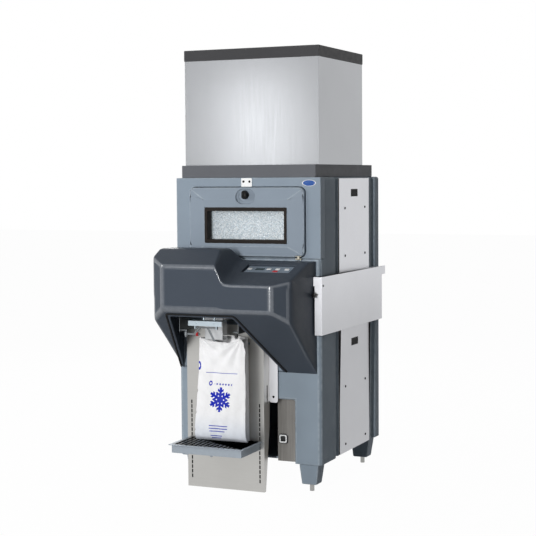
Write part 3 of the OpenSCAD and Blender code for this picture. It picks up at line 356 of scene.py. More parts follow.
BRUSHED, ends, outs = new_group("brushed_sheet", [
    ("Colour", "Color", (0.5, 0.5, 0.5, 1)), ("Stretch", "Vector", (300, 300, 6)),
    ("Streaks", "Float", 0.1), ("Smudges", "Float", 0.06), ("Sheen low", "Float", 0.35),
    ("Sheen high", "Float", 0.5), ("Painted shade low down", "Float", 0.0)], SURFACE_OUTPUTS)
spot_on = put(BRUSHED, "ShaderNodeTexCoord").outputs["Object"]
drawn_out = put(BRUSHED, "ShaderNodeMapping", {"Vector": spot_on, "Scale": ends.outputs["Stretch"]})
streak = noise_of(BRUSHED, drawn_out.outputs[0], 1.0, 4.0)
smudge = noise_of(BRUSHED, spot_on, 3.4, 4.0)
lined = shifted(BRUSHED, ends.outputs["Colour"], ends.outputs["Streaks"], streak)
clouded = shifted(BRUSHED, lined, ends.outputs["Smudges"], smudge)
gloss = put(BRUSHED, "ShaderNodeMapRange", {"Value": streak, "To Min": ends.outputs["Sheen low"],
            "To Max": ends.outputs["Sheen high"]})
# Painted shade: the sheet is darkened towards the floor.
height_on = put(BRUSHED, "ShaderNodeSeparateXYZ", {0: spot_on}).outputs["Z"]
painted_low_shade = put(BRUSHED, "ShaderNodeMapRange", {"Value": height_on, "From Min": 0.7, "From Max": 1.2,
               "To Min": ends.outputs["Painted shade low down"], "To Max": 0.0}, interpolation_type="SMOOTHSTEP")
kept_light = put(BRUSHED, "ShaderNodeMath", {0: 1.0, 1: painted_low_shade.outputs[0]}, operation="SUBTRACT")
shaded_low = put(BRUSHED, "ShaderNodeHueSaturation", {"Value": kept_light.outputs[0], "Color": clouded})
end_effect(BRUSHED, outs, shaded_low.outputs[0], gloss.outputs[0], streak)


def brushed_metal(name, colour, stretch=(300, 300, 6), sheen=(0.38, 0.5), streaks=0.1, smudges=0.05,
                  relief=0.08, metallic=1.0, specular=0.5, low_shade=0.0):
    """Sheet or bar metal: brushed along its least stretch, with a painted shade low down of a given share.
    """
    made, tree, shader = blank_material(name, colour, specular)
    shader.inputs["Metallic"].default_value = metallic
    join_effect(tree, shader, BRUSHED, {
        "Colour": tone(colour), "Stretch": stretch, "Streaks": streaks, "Smudges": smudges,
        "Sheen low": sheen[0], "Sheen high": sheen[1], "Painted shade low down": low_shade}, relief, 0.0002)
    return made


PLATED = brushed_metal("plated_steel", "9c9c9a", (220, 220, 220), (0.18, 0.28), 0.06)
fit_node("leveling_feet", 0.0015, "frame", PLATED, "steel_bright")


# Inner tank: white food-grade polyethylene, with sloping floors and the auger's trough,
# foamed into the cabinet.
def finish_node(node, material):
    """Gives its material to a CAD node that keeps its own shape."""
    nodes[node].data.materials.clear()
    nodes[node].data.materials.append(material)


WHITE_LINER = moulded_plastic("white_tank_moulding", "dfe6ea", "f0f3f5", (0.3, 0.42), 0.04)
finish_node("bin_liner", WHITE_LINER)


# Upper front moulding round the door, of blue-grey polyethylene, with a plain domed oval
# badge plate set on its right corner.
def outer_front(edge):
    """Whether an edge is on the moulding's outline."""
    return all(abs(vert.co.x) > 0.405 or vert.co.z < 1.212 or vert.co.z > 1.624 for vert in edge.verts)


FASCIA_BLUE = moulded_plastic("fascia_moulding", "909daa", "a7b3bc", (0.4, 0.55), 0.06)
fascia_cuts = [("x", side * place_x) for place_x in (0.295, 0.329, 0.337, 0.398) for side in (-1, 1)]
fascia_cuts += [("z", height) for height in (1.221, 1.2495, 1.5445, 1.5785, 1.589, 1.615)]
fit_piece(rounded("front_fascia", 0.010, lambda edge: 1.0 if outer_front(edge) else 0.35, cuts=fascia_cuts),
          "frame", FASCIA_BLUE, "moulding_blue", "front_fascia")


def front_ring(drawn, count, out, outline):
    """Adds a ring of points out from the fascia's face; outline gives x and z at an angle."""
    spots = [outline(k * math.tau / count) for k in range(count)]
    return [drawn.verts.new((x, FACE - out, z)) for x, z in spots]


def skinned(drawn, rings, closed=False, smooth=True):
    """Faces between each ring of points and the next, and back to the first where closed. A
    ring of one point is a tip."""
    made = []
    for outer, inner in zip(rings, rings[1:] + rings[:1] if closed else rings[1:]):
        for k in range(max(len(outer), len(inner))):
            corners = [outer[k % len(outer)], outer[(k + 1) % len(outer)],
                       inner[(k + 1) % len(inner)], inner[k % len(inner)]]
            face = drawn.faces.new([spot for n, spot in enumerate(corners) if spot not in corners[:n]])
            face.smooth = smooth
            made.append(face)
    return made


def faced_out(drawn):
    """The mesh with all its faces turned outwards."""
    bmesh.ops.recalc_face_normals(drawn, faces=drawn.faces)
    return drawn


BADGE_X, BADGE_Z, BADGE_HALF_W, BADGE_HALF_H = 0.348, 1.596, 0.0385, 0.0165
# Each ring's share of the outline, and how far it stands out; the white rim has the first five
BADGE_RINGS = [(1.0, 0.0), (1.0, 0.0012), (0.96, 0.0020), (0.88, 0.0021), (0.86, 0.0017),
               (0.82, 0.0021), (0.5, 0.0025), (0.0, 0.0026)]
badge = bmesh.new()
rings = [front_ring(badge, 48 if share else 1, out, lambda angle: (
         BADGE_X + BADGE_HALF_W * share * math.cos(angle),
         BADGE_Z + BADGE_HALF_H * share * math.sin(angle)))
         for share, out in BADGE_RINGS]
skinned(badge, rings[:5])
for face in skinned(badge, rings[4:]):
    face.material_index = 1
badge.faces.new(list(reversed(rings[0])))
badge = place("badge_made", faced_out(badge))
BADGE_WHITE = moulded_plastic("badge_rim", "e9ebee", "ffffff", (0.2, 0.3), 0.03, specular=0.5)
BADGE_BLUE = moulded_plastic("badge_field", "1450a0", "2a66ae", (0.15, 0.25), 0.1, specular=0.5)
badge.data.materials.append(BADGE_WHITE)
badge.data.materials.append(BADGE_BLUE)
fit_piece(badge, "frame", None, "badge_blue", "badge_plate")


# Screws and strike plate: small domed steel heads with a dished middle, and the bright
# plate that catches the door, rounded at its corners and held by two of them.
def lathe(drawn, profile, count):
    """Adds a closed turned shape about Z from (radius, height) pairs, top to bottom."""
    rings = []
    for radius, height in profile:
        turns = count if radius else 1
        angles = [k * math.tau / turns for k in range(turns)]
        rings.append([drawn.verts.new((radius * math.cos(angle), radius * math.sin(angle), height))
                      for angle in angles])
    skinned(drawn, rings[::-1])
    return rings


def plain_end(tree, instances, finish, end):
    """Ends a geometry tree: its instances become one plain mesh with one material."""
    real = put(tree, "GeometryNodeRealizeInstances", {0: instances})
    painted = put(tree, "GeometryNodeSetMaterial", {0: real.outputs[0], "Material": finish})
    tree.links.new(painted.outputs[0], end.inputs[0])


def grown(carrier, tree, inputs, name):
    """The plain mesh that a geometry tree makes of its carrier, with its named inputs set."""
    growth = carrier.modifiers.new("growth", "NODES")
    growth.node_group = tree
    for socket in tree.interface.items_tree:
        if socket.name in inputs:
            growth[socket.identifier] = inputs[socket.name]
    return settled(carrier, name)


HEADS, given, end = new_group("heads_on_points", [
    ("Points", "Geometry", None), ("Head", "Object", None), ("Head size", "Float", 1.0),
    ("Finish", "Material", None)], [("Screws", "Geometry")], "GeometryNodeTree")
axis = put(HEADS, "GeometryNodeInputNamedAttribute", {"Name": "axis"}, data_type="FLOAT_VECTOR")
aim = put(HEADS, "FunctionNodeAlignRotationToVector", {"Vector": axis.outputs[0]}, axis="Z")
shape = put(HEADS, "GeometryNodeObjectInfo", {"Object": given.outputs["Head"]})
seated = put(HEADS, "GeometryNodeInstanceOnPoints", {
             "Points": given.outputs["Points"], "Instance": shape.outputs["Geometry"],
             "Rotation": aim.outputs[0], "Scale": given.outputs["Head size"]})
plain_end(HEADS, seated.outputs[0], given.outputs["Finish"], end)


def set_on_points(name, points, material, size=1.0):
    """Screw heads on points of (place, axis), as one plain piece."""
    mesh = bpy.data.meshes.new(name + "_points")
    mesh.from_pydata([spot for spot, _ in points], [], [])
    mark = mesh.attributes.new("axis", "FLOAT_VECTOR", "POINT")
    mark.data.foreach_set("vector", [part for _, along_axis in points for part in along_axis])
    carrier = place(name + "_points", mesh)
    return grown(carrier, HEADS, {"Head": screw_head, "Head size": size, "Finish": material}, name)


def block(drawn, low, high):
    """Adds a box between two corners."""
    low, high = Vector(low), Vector(high)
    bmesh.ops.create_cube(drawn, size=1.0, matrix=Matrix.Translation((low + high) / 2)
                          @ Matrix.Diagonal((*(high - low), 1)))


FINE_ALL_WAYS = (500, 500, 500)
DARK_SCREW = brushed_metal("dark_screw", "5d5f62", FINE_ALL_WAYS, (0.3, 0.45), 0.1)
BLACK_SCREW = brushed_metal("black_screw", "141416", FINE_ALL_WAYS, (0.35, 0.5), 0.1, metallic=0.3,
                            specular=0.2)
HEAD_PROFILE = [(0, 0.0019), (0.0012, 0.0021), (0.0018, 0.0026), (0.0034, 0.0022), (0.0046, 0.0011),
                (0.005, 0.0), (0, -0.0004)]
screw_head = bmesh.new()
lathe(screw_head, HEAD_PROFILE, 16)
screw_head = place("screw_head", screw_head)
STRIKE_HALF_W, STRIKE_THICK, STRIKE_LOW, STRIKE_HIGH, STRIKE_CORNER = 0.03, 0.003, 1.578, 1.623, 0.006
STRIKE_EDGE = 0.16
strike_points = [((side * 0.017, FACE - STRIKE_THICK, 1.605), (0, -1, 0)) for side in (-1, 1)]
strike_screws = set_on_points("strike_screws", strike_points, BLACK_SCREW, 1.3)
fit_piece(strike_screws, "frame", None, "steel_grey")
STRIKE_WHITE = brushed_metal("strike_plate", "eceded", (260, 260, 260), (0.35, 0.45), 0.03, metallic=0.2)
strike = bmesh.new()
block(strike, (-STRIKE_HALF_W, FACE - STRIKE_THICK, STRIKE_LOW), (STRIKE_HALF_W, FACE, STRIKE_HIGH))
strike_weight = strike.edges.layers.float.new("bevel_weight_edge")
for edge in strike.edges:
    through = abs(edge.verts[0].co.y - edge.verts[1].co.y) > STRIKE_THICK / 2
    edge[strike_weight] = 1.0 if through else STRIKE_EDGE
for face in strike.faces:
    face.smooth = True
strike = round_edges(place("strike_blank", strike), "strike_made", STRIKE_CORNER)
fit_piece(strike, "frame", STRIKE_WHITE, "steel_bright", "latch_strike")

# Access door: a foam-filled moulding with a crowned middle, hung on pins along its lower
# edge, with a rubber seal behind it.
DOOR_BLUE = moulded_plastic("door_moulding", "8f9ba8", "acb7bf", (0.38, 0.52), 0.06)
door_cuts = [("x", side * place_x) for place_x in (0.015, 0.2375, 0.295) for side in (-1, 1)] + [("x", 0)]
door_cuts += [("z", height) for height in (1.249, 1.275, 1.286, 1.472, 1.5115, 1.528, 1.545)]


def door_share(edge):
    """Full rounding on the door's outline, less on its creases and openings."""
    spots = [vert.co for vert in edge.verts]
    if all(abs(spot.x) > 0.29 or spot.z < 1.222 or spot.z > 1.5745 for spot in spots):
        return 1.0
    return 0.5 if min(spot.y for spot in spots) < FACE - 0.012 and edge.calc_face_angle() < 0.6 else 0.16


fit_piece(rounded("access_door", 0.007, door_share, sharp=4, cuts=door_cuts), "door", DOOR_BLUE,
          "moulding_blue", "access_door")
SOFT_BLACK = moulded_plastic("black_rubber", "1c1c1d", "2b2b2c", (0.6, 0.75), 0.1, 1400.0)
fit_node("door_seal", 0.003, "door", SOFT_BLACK, "rubber_black")
ZINC = brushed_metal("zinc_hinge", "b5b0a2", (200, 200, 200), (0.25, 0.4), 0.1)
fit_node("door_leaves", 0.001, "door", ZINC, "steel_bright")
fit_node("door_hinges", 0.001, "frame", ZINC, "steel_bright")

# Window: a moulded brown-black rubber frame, round at its outer corners, that holds a
# clear pane.
BROWN_RUBBER = moulded_plastic("brown_black_rubber", "282422", "3c3632", (0.45, 0.6), 0.1, 1300.0,
                               specular=0.08)


def frame_share(edge):
    """Full rounding on the outer corners, which run front to back, and a third elsewhere."""
    a, b = (vert.co for vert in edge.verts)
    return 1.0 if abs(a.y - b.y) > 0.02 and abs(a.x) > 0.225 else 0.32


gasket = rounded("window_gasket", 0.010, frame_share)
fit_piece(gasket, "door", BROWN_RUBBER, "bezel_brown", "window_gasket")
CLEAR, clear_tree, clear_shader = blank_material("clear_pane", "c9d6dc", 0.5)
clear_shader.inputs["Roughness"].default_value = 0.06
clear_haze = noise_of(clear_tree, put(clear_tree, "ShaderNodeTexCoord").outputs["Object"], 9.0)
clear_alpha = put(clear_tree, "ShaderNodeMapRange", {"Value": clear_haze, "To Min": 0.1, "To Max": 0.18})
clear_tree.links.new(clear_alpha.outputs[0], clear_shader.inputs["Alpha"])
finish_node("window_pane", CLEAR)

# Door knob: a black moulded turn knob in its dished seat, on a shaft with a steel latching
# arm behind the door.
GLOSS_BLACK = moulded_plastic("gloss_black_moulding", "121213", "2c2c2e", (0.22, 0.32), 0.1, 700.0, 0.1,
                              0.5)
KNOB_BLACK = moulded_plastic("knob_black", "101011", "242425", (0.3, 0.4), 0.1, 700.0, 0.1, 0.12)
fit_node("latch_knob", 0.0008, "latch", KNOB_BLACK, "black_plastic")


def parted(share, half, sharpness):
    """How far a long oval's end stands from its middle, from the sine or cosine along it."""
    return half * (1 if share > 0 else -1) * min(1.0, sharpness * abs(share))


DOOR_OUT, SEAT_Z, SEAT_LIP = 0.016, 1.528, 0.0004
# Each ring of the seat: half its straight run, its radius, its depth in the door and its rise
SEAT_RINGS = [(0.0148, 0.0398, 0.0006, 0.0), (0.0140, 0.0375, 0.0030, 0.0005),
              (0.0125, 0.0300, 0.0060, 0.0025), (0.0120, 0.0285, 0.0064, 0.0030)]
dish = bmesh.new()
dish_rings = [front_ring(dish, 64, DOOR_OUT - depth, lambda angle: (
              parted(math.cos(angle), half, 8) + radius * math.cos(angle),
              SEAT_Z + rise + radius * math.sin(angle))) for half, radius, depth, rise in SEAT_RINGS]
for ring in (dish_rings[-1], dish_rings[0]):
    dish_rings.append([dish.verts.new(vert.co + Vector((0, SEAT_LIP, 0))) for vert in ring])
skinned(dish, dish_rings, closed=True)
fit_piece(place("knob_dish", faced_out(dish)), "door", DOOR_BLUE, "moulding_blue")

KNOB_Z, GRIP_RADIUS, GRIP_TAPER, GRIP_RUN = 1.537, 0.0133, 0.0050, 0.009
# Each ring of the grip: its share of the outline, and how far it stands out
GRIP_RINGS = [(1.0, 0.015), (1.03, 0.017), (1.03, 0.033), (0.98, 0.037), (0.86, 0.0395), (0.6, 0.0408),
              (0.0, 0.0412)]


def grip_outline(swell, angle):
    """The grip's x and z at an angle: an upright oval, narrower at its top."""
    radius = GRIP_RADIUS - GRIP_TAPER * max(0.0, math.sin(angle))
    lift = parted(math.sin(angle), GRIP_RUN, 6)
    return swell * radius * math.cos(angle), KNOB_Z + swell * (lift + radius * math.sin(angle))


grip = bmesh.new()
grip_rings = [front_ring(grip, 40 if swell else 1, out, lambda angle: grip_outline(swell, angle))
              for swell, out in GRIP_RINGS]
skinned(grip, grip_rings)
grip.faces.new(list(reversed(grip_rings[0])))
fit_piece(place("knob_grip", faced_out(grip)), "latch", KNOB_BLACK, "black_plastic")

# Ice: clear-edged white nuggets, heaped against the window. The tank's solid heap stays
# below them.
ICE, ice_tree, ice_shader = blank_material("nugget_ice", "f4f8fa", 0.5)
ice_shader.inputs["Roughness"].default_value = 0.22
ice_shader.inputs["IOR"].default_value = 1.31
ice_spot = put(ice_tree, "ShaderNodeTexCoord").outputs["Object"]
ice_bubbles = noise_of(ice_tree, ice_spot, 130.0, 4.0)
ice_tint_and_glow = put(ice_tree, "ShaderNodeMix", {"Factor": ice_bubbles, 6: tone("bcc9d2"), 7: tone("ffffff")},
               data_type="RGBA")
ice_tree.links.new(ice_tint_and_glow.outputs[2], ice_shader.inputs["Base Color"])
ice_bump = put(ice_tree, "ShaderNodeBump", {"Strength": 0.5, "Distance": 0.001, "Height": ice_bubbles})
ice_tree.links.new(ice_bump.outputs[0], ice_shader.inputs["Normal"])
# A painted glow: the nuggets give off their own tint faintly, though they are no lamp.
ice_tree.links.new(ice_tint_and_glow.outputs[2], ice_shader.inputs["Emission Color"])
ice_shader.inputs["Emission Strength"].default_value = 0.16
finish_node("ice_load", ICE)

NUGGET, NUGGET_EDGE = 0.0125, 0.0032
nugget = bmesh.new()
bmesh.ops.create_cube(nugget, size=NUGGET)
bmesh.ops.bevel(nugget, geom=nugget.edges[:], offset=NUGGET_EDGE, segments=1, affect="EDGES")
for face in nugget.faces:
    face.smooth = True
nugget = place("nugget", nugget)
HEAP_HALF_W, HEAP_LOW, HEAP_Y, LAYERS = 0.262, 1.272, FACE + 0.058, 3
heap_high = min(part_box("ice_load")[1].z, 1.482)
heap = bmesh.new()
for layer in range(LAYERS):
    layer_y = HEAP_Y - 0.004 + 0.006 * layer
    heap.faces.new([heap.verts.new((side * HEAP_HALF_W, layer_y, z)) for side, z in (
        (-1, HEAP_LOW), (1, HEAP_LOW), (1, heap_high), (-1, heap_high))])
heap.faces.new([heap.verts.new((side * HEAP_HALF_W, HEAP_Y + back, heap_high)) for side, back in (
    (-1, 0), (1, 0), (1, 0.06), (-1, 0.06))])
heap = place("heap", heap)
HEAPED, given, end = new_group("heaped_ice", [
    ("Heap", "Geometry", None), ("Nugget", "Object", None), ("Nuggets per area", "Float", 9500.0),
    ("Smallest", "Float", 0.7), ("Largest", "Float", 1.25), ("Seed", "Int", 7),
    ("Finish", "Material", None)], [("Ice", "Geometry")], "GeometryNodeTree")
strewn = put(HEAPED, "GeometryNodeDistributePointsOnFaces", {"Mesh": given.outputs["Heap"],
             "Density": given.outputs["Nuggets per area"], "Seed": given.outputs["Seed"]})
tumbled = put(HEAPED, "FunctionNodeRandomValue", {"Min": (0, 0, 0), "Max": (6.28, 6.28, 6.28),
              "Seed": given.outputs["Seed"]}, data_type="FLOAT_VECTOR")
sized = put(HEAPED, "FunctionNodeRandomValue", {2: given.outputs["Smallest"], 3: given.outputs["Largest"],
            "Seed": given.outputs["Seed"]}, data_type="FLOAT")
shape = put(HEAPED, "GeometryNodeObjectInfo", {"Object": given.outputs["Nugget"]})
heaped = put(HEAPED, "GeometryNodeInstanceOnPoints", {
             "Points": strewn.outputs["Points"], "Instance": shape.outputs["Geometry"],
             "Rotation": tumbled.outputs[0], "Scale": sized.outputs[1]})
plain_end(HEAPED, heaped.outputs[0], given.outputs["Finish"], end)
ice_front = grown(heap, HEAPED, {"Nugget": nugget, "Finish": ICE}, "ice_nuggets")
bpy.data.objects.remove(nugget)
fit_piece(ice_front, "frame", None, "ice")

# Plate under the ice machine: one dark moulding that closes the bin's top, with a seam in
# its front.
DARK_GREY = moulded_plastic("dark_grey_moulding", "66686d", "76787d", (0.42, 0.55), 0.08)
fit_node("bin_top_plate", 0.003, "frame", DARK_GREY, "plate_dark")

# Side covers and cross panels: light satin sheet metal, folded at the edges and screwed
# on, with black plugs in the lifting slots.
# This sheet gets a painted shade towards the floor.
SATIN_SHEET = brushed_metal("satin_sheet", "e8e9ed", (60, 60, 60), (0.42, 0.5), 0.03, 0.05, metallic=0.75,
                            low_shade=0.25)
for cover in ("upper_side_covers", "side_cover_left", "side_cover_right"):
    fit_node(cover, 0.0012, "frame", SATIN_SHEET, "sheet_light")
fit_node("cover_plugs", 0.002, "frame", SOFT_BLACK, "black_plastic")

# Black strips in the seat in front of each side cover stand in for the shade of that gap: painted shade.
STRIP_X, STRIP_Y, STRIP_Z, STRIP_W, STRIP_D, STRIP_H = 0.3925, FACE + 0.2915, 0.884, 0.005, 0.0115, 1.466
seat_shade_strips = bmesh.new()
for side in (-1, 1):
    middle, half = Vector((side * STRIP_X, STRIP_Y, STRIP_Z)), Vector((STRIP_W, STRIP_D, STRIP_H)) / 2
    block(seat_shade_strips, middle - half, middle + half)
bmesh.ops.bevel(seat_shade_strips, geom=seat_shade_strips.edges[:], offset=0.001, segments=2, affect="EDGES")
fit_piece(place("cover_gaskets", seat_shade_strips), "frame", SOFT_BLACK, "rubber_black")

COVER_OUT, BOLT_AT = 0.397, (0.430, FACE - 0.020, 1.077)
screw_points = [((side * COVER_OUT, FACE + y, z), (side, 0, 0)) for side in (-1, 1)
                for y in (0.382, 0.690) for z in (1.207, 1.460, 0.195, 0.507)]
cover_screws = set_on_points("cover_screws_made", screw_points, BLACK_SCREW, 1.4)
fit_piece(cover_screws, "frame", None, "steel_grey", "cover_screws")
bolt_points = [((side * BOLT_AT[0], BOLT_AT[1], BOLT_AT[2]), (side, 0, 0)) for side in (-1, 1)]
fit_piece(set_on_points("cross_bolts", bolt_points, DARK_SCREW, 1.4), "frame", None, "steel_grey")

# Star knobs: black moulded grips with steel washers, one on each side, that clamp the
# cross panels' front flanges.
STAR_X, STAR_OUT, STAR_Z = 0.398, 0.04, 1.032
STAR_RADIUS, STAR_LOBE, LOBES = 0.0125, 0.0028, 5
STAR_RINGS = [(0.0, 0.0242), (0.5, 0.0241), (0.86, 0.0232), (1.0, 0.021), (1.0, 0.0095), (0.9, 0.0075),
              (0.5, 0.006)]
STEM_PROFILE = [(0.0, -0.0098), (0.004, -0.0097), (0.008, -0.0055), (0.008, -0.0022), (0.0098, -0.002),
                (0.0098, -0.0003), (0.004, -0.0003), (0.004, 0.066), (0.0, 0.0665)]


def star_outline(sign, swell, angle):
    """A star knob's x and z at an angle, on the side that the sign gives."""
    reach = swell * (STAR_RADIUS + STAR_LOBE * math.cos(LOBES * angle))
    return sign * STAR_X + reach * math.sin(angle), STAR_Z + reach * math.cos(angle)


for side, sign in (("left", -1), ("right", 1)):
    star = bmesh.new()
    star_rings = [front_ring(star, 60 if swell else 1, STAR_OUT + out,
                             lambda angle: star_outline(sign, swell, angle)) for swell, out in STAR_RINGS]
    skinned(star, star_rings)
    star.faces.new(list(star_rings[-1]))
    metal_from = len(star.faces)
    stem = lathe(star, STEM_PROFILE, 32)
    turned = (Matrix.Translation((sign * STAR_X, FACE - STAR_OUT, STAR_Z))
              @ Matrix.Rotation(-math.pi / 2, 4, "X"))
    bmesh.ops.transform(star, matrix=turned, verts=[vert for ring in stem for vert in ring])
    star.faces.ensure_lookup_table()
    for face in star.faces[metal_from:]:
        face.material_index = 1
    star = place("star_%s_made" % side, faced_out(star))
    star.data.materials.append(GLOSS_BLACK)
    star.data.materials.append(PLATED)
    fit_piece(star, "star_" + side, None, "black_plastic", "star_knob_" + side)

# Ice machine casing: brushed stainless sheets round the base pan, closed by a dark moulded
# lid. The back sheet has louvres in front of the coil.
MACHINE_STEEL = brushed_metal("machine_stainless", "a2a4a7", (240, 240, 5), (0.2, 0.25), 0.05, 0.05)
for sheet in ("machine_front", "machine_left", "machine_right", "machine_back"):
    fit_node(sheet, 0.0008, "frame", MACHINE_STEEL, "stainless")
LID_GREY = moulded_plastic("lid_moulding", "424244", "5a5a5c", (0.4, 0.52), 0.08)
fit_node("machine_lid", 0.004, "frame", LID_GREY, "plate_dark")

# Inside the ice machine: freezing plate, clear flap, trough, compressor, coil, fan and its
# motor, on the galvanised base pan.
GALVANISED = brushed_metal("galvanised_pan", "8f9396", (40, 40, 40), (0.4, 0.55), 0.15, 0.15)
TINNED = brushed_metal("tinned_cells", "c6cbce", (150, 150, 150), (0.25, 0.35), 0.06)
FLAP_CLEAR = moulded_plastic("clear_flap", "c3ccd2", "d8dfe3", (0.15, 0.25), 0.04)
BLACK_ENAMEL = moulded_plastic("black_enamel", "17181a", "303134", (0.3, 0.4), 0.1, 300.0)
FIN_METAL = brushed_metal("aluminium_fins", "b3b7b9", (20, 20, 400), (0.3, 0.4), 0.1)
MOTOR_GREY = brushed_metal("grey_motor_paint", "55585b", (90, 90, 90), (0.45, 0.55), 0.08, metallic=0.2)
for node, material in {"machine_base": GALVANISED, "evaporator": TINNED, "water_curtain": FLAP_CLEAR,
                       "water_trough": WHITE_LINER, "compressor": BLACK_ENAMEL, "condenser": FIN_METAL,
                       "condenser_fan": BLACK_ENAMEL, "fan_motor": MOTOR_GREY}.items():
    finish_node(node, material)

# Lower front: a stainless panel sunk into the moulding's open foot, with the power switch
# in a black surround.
RECESS_STEEL = brushed_metal("recess_stainless", "767471", (260, 260, 5), (0.42, 0.55), 0.3, 0.25)
fit_node("inner_panel", 0.0008, "frame", RECESS_STEEL, "stainless")
fit_node("switch_bezel", 0.002, "frame", GLOSS_BLACK, "black_plastic")
fit_node("rocker_switch", 0.0015, "rocker", GLOSS_BLACK, "black_plastic")
SWITCH_X, SWITCH_Z, SQUARENESS = 0.177, 0.267, 5
# Each ring of the surround: half its width, and how far back it lies
SURROUND_RINGS = [(0.0140, 0.0440), (0.0140, 0.0415), (0.0150, 0.0408), (0.0205, 0.0408),
                  (0.0215, 0.0415), (0.0215, 0.0440)]
RING_WHITE = moulded_plastic("switch_ring", "eceded", "f8f8f8", (0.3, 0.4), 0.03)


def squarish(half, angle):
    """X and z at an angle on a rounded square round the switch."""
    across, up_by = math.cos(angle), math.sin(angle)
    swell = half * (abs(across) ** SQUARENESS + abs(up_by) ** SQUARENESS) ** (-1 / SQUARENESS)
    return SWITCH_X + swell * across, SWITCH_Z + swell * up_by


ring = bmesh.new()
ring_rows = [front_ring(ring, 48, -back, lambda angle: squarish(half, angle))
             for half, back in SURROUND_RINGS]
skinned(ring, ring_rows, closed=True)
fit_piece(place("switch_ring", faced_out(ring)), "frame", RING_WHITE, "button_white")

# Rails and slotted panel: two light steel rails on the moulding carry a stainless panel
# with a column of slots down each side.
fit_node("panel_rails", 0.0008, "frame", SATIN_SHEET, "sheet_light")
PANEL_STEEL = brushed_metal("panel_stainless", "bcbbb8", (5, 260, 260), (0.32, 0.4), 0.05, 0.08)
fit_node("shelf_panel", 0.0008, "frame", PANEL_STEEL, "panel_steel")
# Black sheets behind the slot columns and in the flange's slot stand in for the shade seen through them:
# painted shade.
SLOT_SHADES = [((-0.3105, -0.0655, 0.045), (-0.2755, -0.0635, 0.475)),
           ((0.0795, -0.0655, 0.045), (0.1145, -0.0635, 0.475)),
           ((0.1170, -0.0415, 0.450), (0.1200, -0.0245, 0.565))]
slot_shades = bmesh.new()
for low, high in SLOT_SHADES:
    block(slot_shades, Vector(low) + Vector((0, FACE, 0)), Vector(high) + Vector((0, FACE, 0)))
bmesh.ops.bevel(slot_shades, geom=slot_shades.edges[:], offset=0.0006, segments=2, affect="EDGES")
fit_piece(place("slot_linings", slot_shades), "frame", SOFT_BLACK, "rubber_black")
rail_screw = set_on_points("rail_screw", [((0.1465, FACE - 0.0083, 0.493), (0, -1, 0))], BLACK_SCREW, 1.3)
fit_piece(rail_screw, "frame", None, "steel_grey")

# Drip tray: a blue-grey steel pan with a flat lip, hooked into the panel's slots, and a
# black slatted grille lying in it.
TRAY_PAINT = brushed_metal("tray_paint", "9aa3ac", (60, 60, 60), (0.4, 0.5), 0.05, 0.06, metallic=0.35)
fit_node("tray", 0.0016, "tray_body", TRAY_PAINT, "tray_steel")
fit_node("tray_grille", 0.0016, "tray_body", GLOSS_BLACK, "black_plastic")

# Chute and auger: stainless tube and ribbon flight that bring the ice out of the tank to
# the spout over the bag, driven by a gearbox and motor on the tube's closed end.
CHUTE_STEEL = brushed_metal("chute_stainless", "b6b8ba", (160, 160, 8), (0.3, 0.42), 0.08)
fit_node("ice_chute", 0.0015, "frame", CHUTE_STEEL, "stainless")
finish_node("auger", CHUTE_STEEL)
fit_node("auger_motor", 0.004, "frame", MOTOR_GREY, "steel_grey")

# Bag carrier: folded side plates in the hood, a pale steel channel with two bright screws,
# the opening fork and two swinging arms, the left one with a red sleeve.
FRAME_STEEL = brushed_metal("frame_steel", "6f7376", (90, 90, 90), (0.4, 0.5), 0.1)
fit_node("mechanism_frame", 0.001, "frame", FRAME_STEEL, "steel_grey")
BAR_STEEL = brushed_metal("bar_steel", "b4c0c8", (8, 200, 200), (0.3, 0.4), 0.05, metallic=0.7)
fit_node("bag_bar", 0.001, "frame", BAR_STEEL, "tray_steel")
fit_node("bag_opener", 0.0012, "opener", FRAME_STEEL, "steel_grey")
RED_SLEEVE = moulded_plastic("red_sleeve", "c3272c", "d8484b", (0.3, 0.4), 0.08)
SLEEVE_FROM, SLEEVE_WIDE, GRIP_FROM = -0.240 + 0.0575, 0.013, -0.098 + 0.142 - 0.0095


def two_toned(item, main, second, chosen):
    """The item in one material, with a second one on the faces chosen by where they are."""
    item.data.materials.append(main)
    item.data.materials.append(second)
    for face in item.data.polygons:
        face.material_index = int(chosen(face.center.x))
    return item


arm = two_toned(rounded("arm_left", 0.001), FRAME_STEEL, RED_SLEEVE,
                lambda x: SLEEVE_FROM < x < SLEEVE_FROM + SLEEVE_WIDE)
fit_piece(arm, "arm_l", None, "arm_red", "arm_left")
arm = two_toned(rounded("arm_right", 0.001), PLATED, GLOSS_BLACK, lambda x: x > GRIP_FROM)
fit_piece(arm, "arm_r", None, "steel_bright", "arm_right")

# Hood: one slate moulding with a stepped roof, chamfered corners and a rounded bead round
# its mouth. The keypad lies in a pocket in its low roof.
# Its forward-facing creases are glossier under a coat, and paler there by a painted highlight.
HOOD_SLATE = moulded_plastic("hood_moulding", "4a515b", "59606a", (0.34, 0.44), 0.06, 1000.0, 0.2, 0.05)
hood_tree = HOOD_SLATE.node_tree
hood_shader = hood_tree.nodes["Principled BSDF"]
polished = put(hood_tree, "ShaderNodeAttribute", attribute_name="edge").outputs["Fac"]
hood_tree.links.new(polished, hood_shader.inputs["Coat Weight"])
hood_shader.inputs["Coat Roughness"].default_value = 0.22
hood_shader.inputs["Coat IOR"].default_value = 1.8
HOOD_BACK, HOOD_FRONT, CORNER_FRONT, SIDE_X, FACE_X = 0.006, -0.386, -0.317, 0.386, 0.299
HOOD_FOOT, LIP_HIGH, ROOF_BACK, ROOF_FRONT, ROOF_BEND = 0.622, 0.965, 1.198, 1.101, -0.085
UNDER_RISE = (LIP_HIGH - HOOD_FOOT) / (HOOD_BACK - HOOD_FRONT)
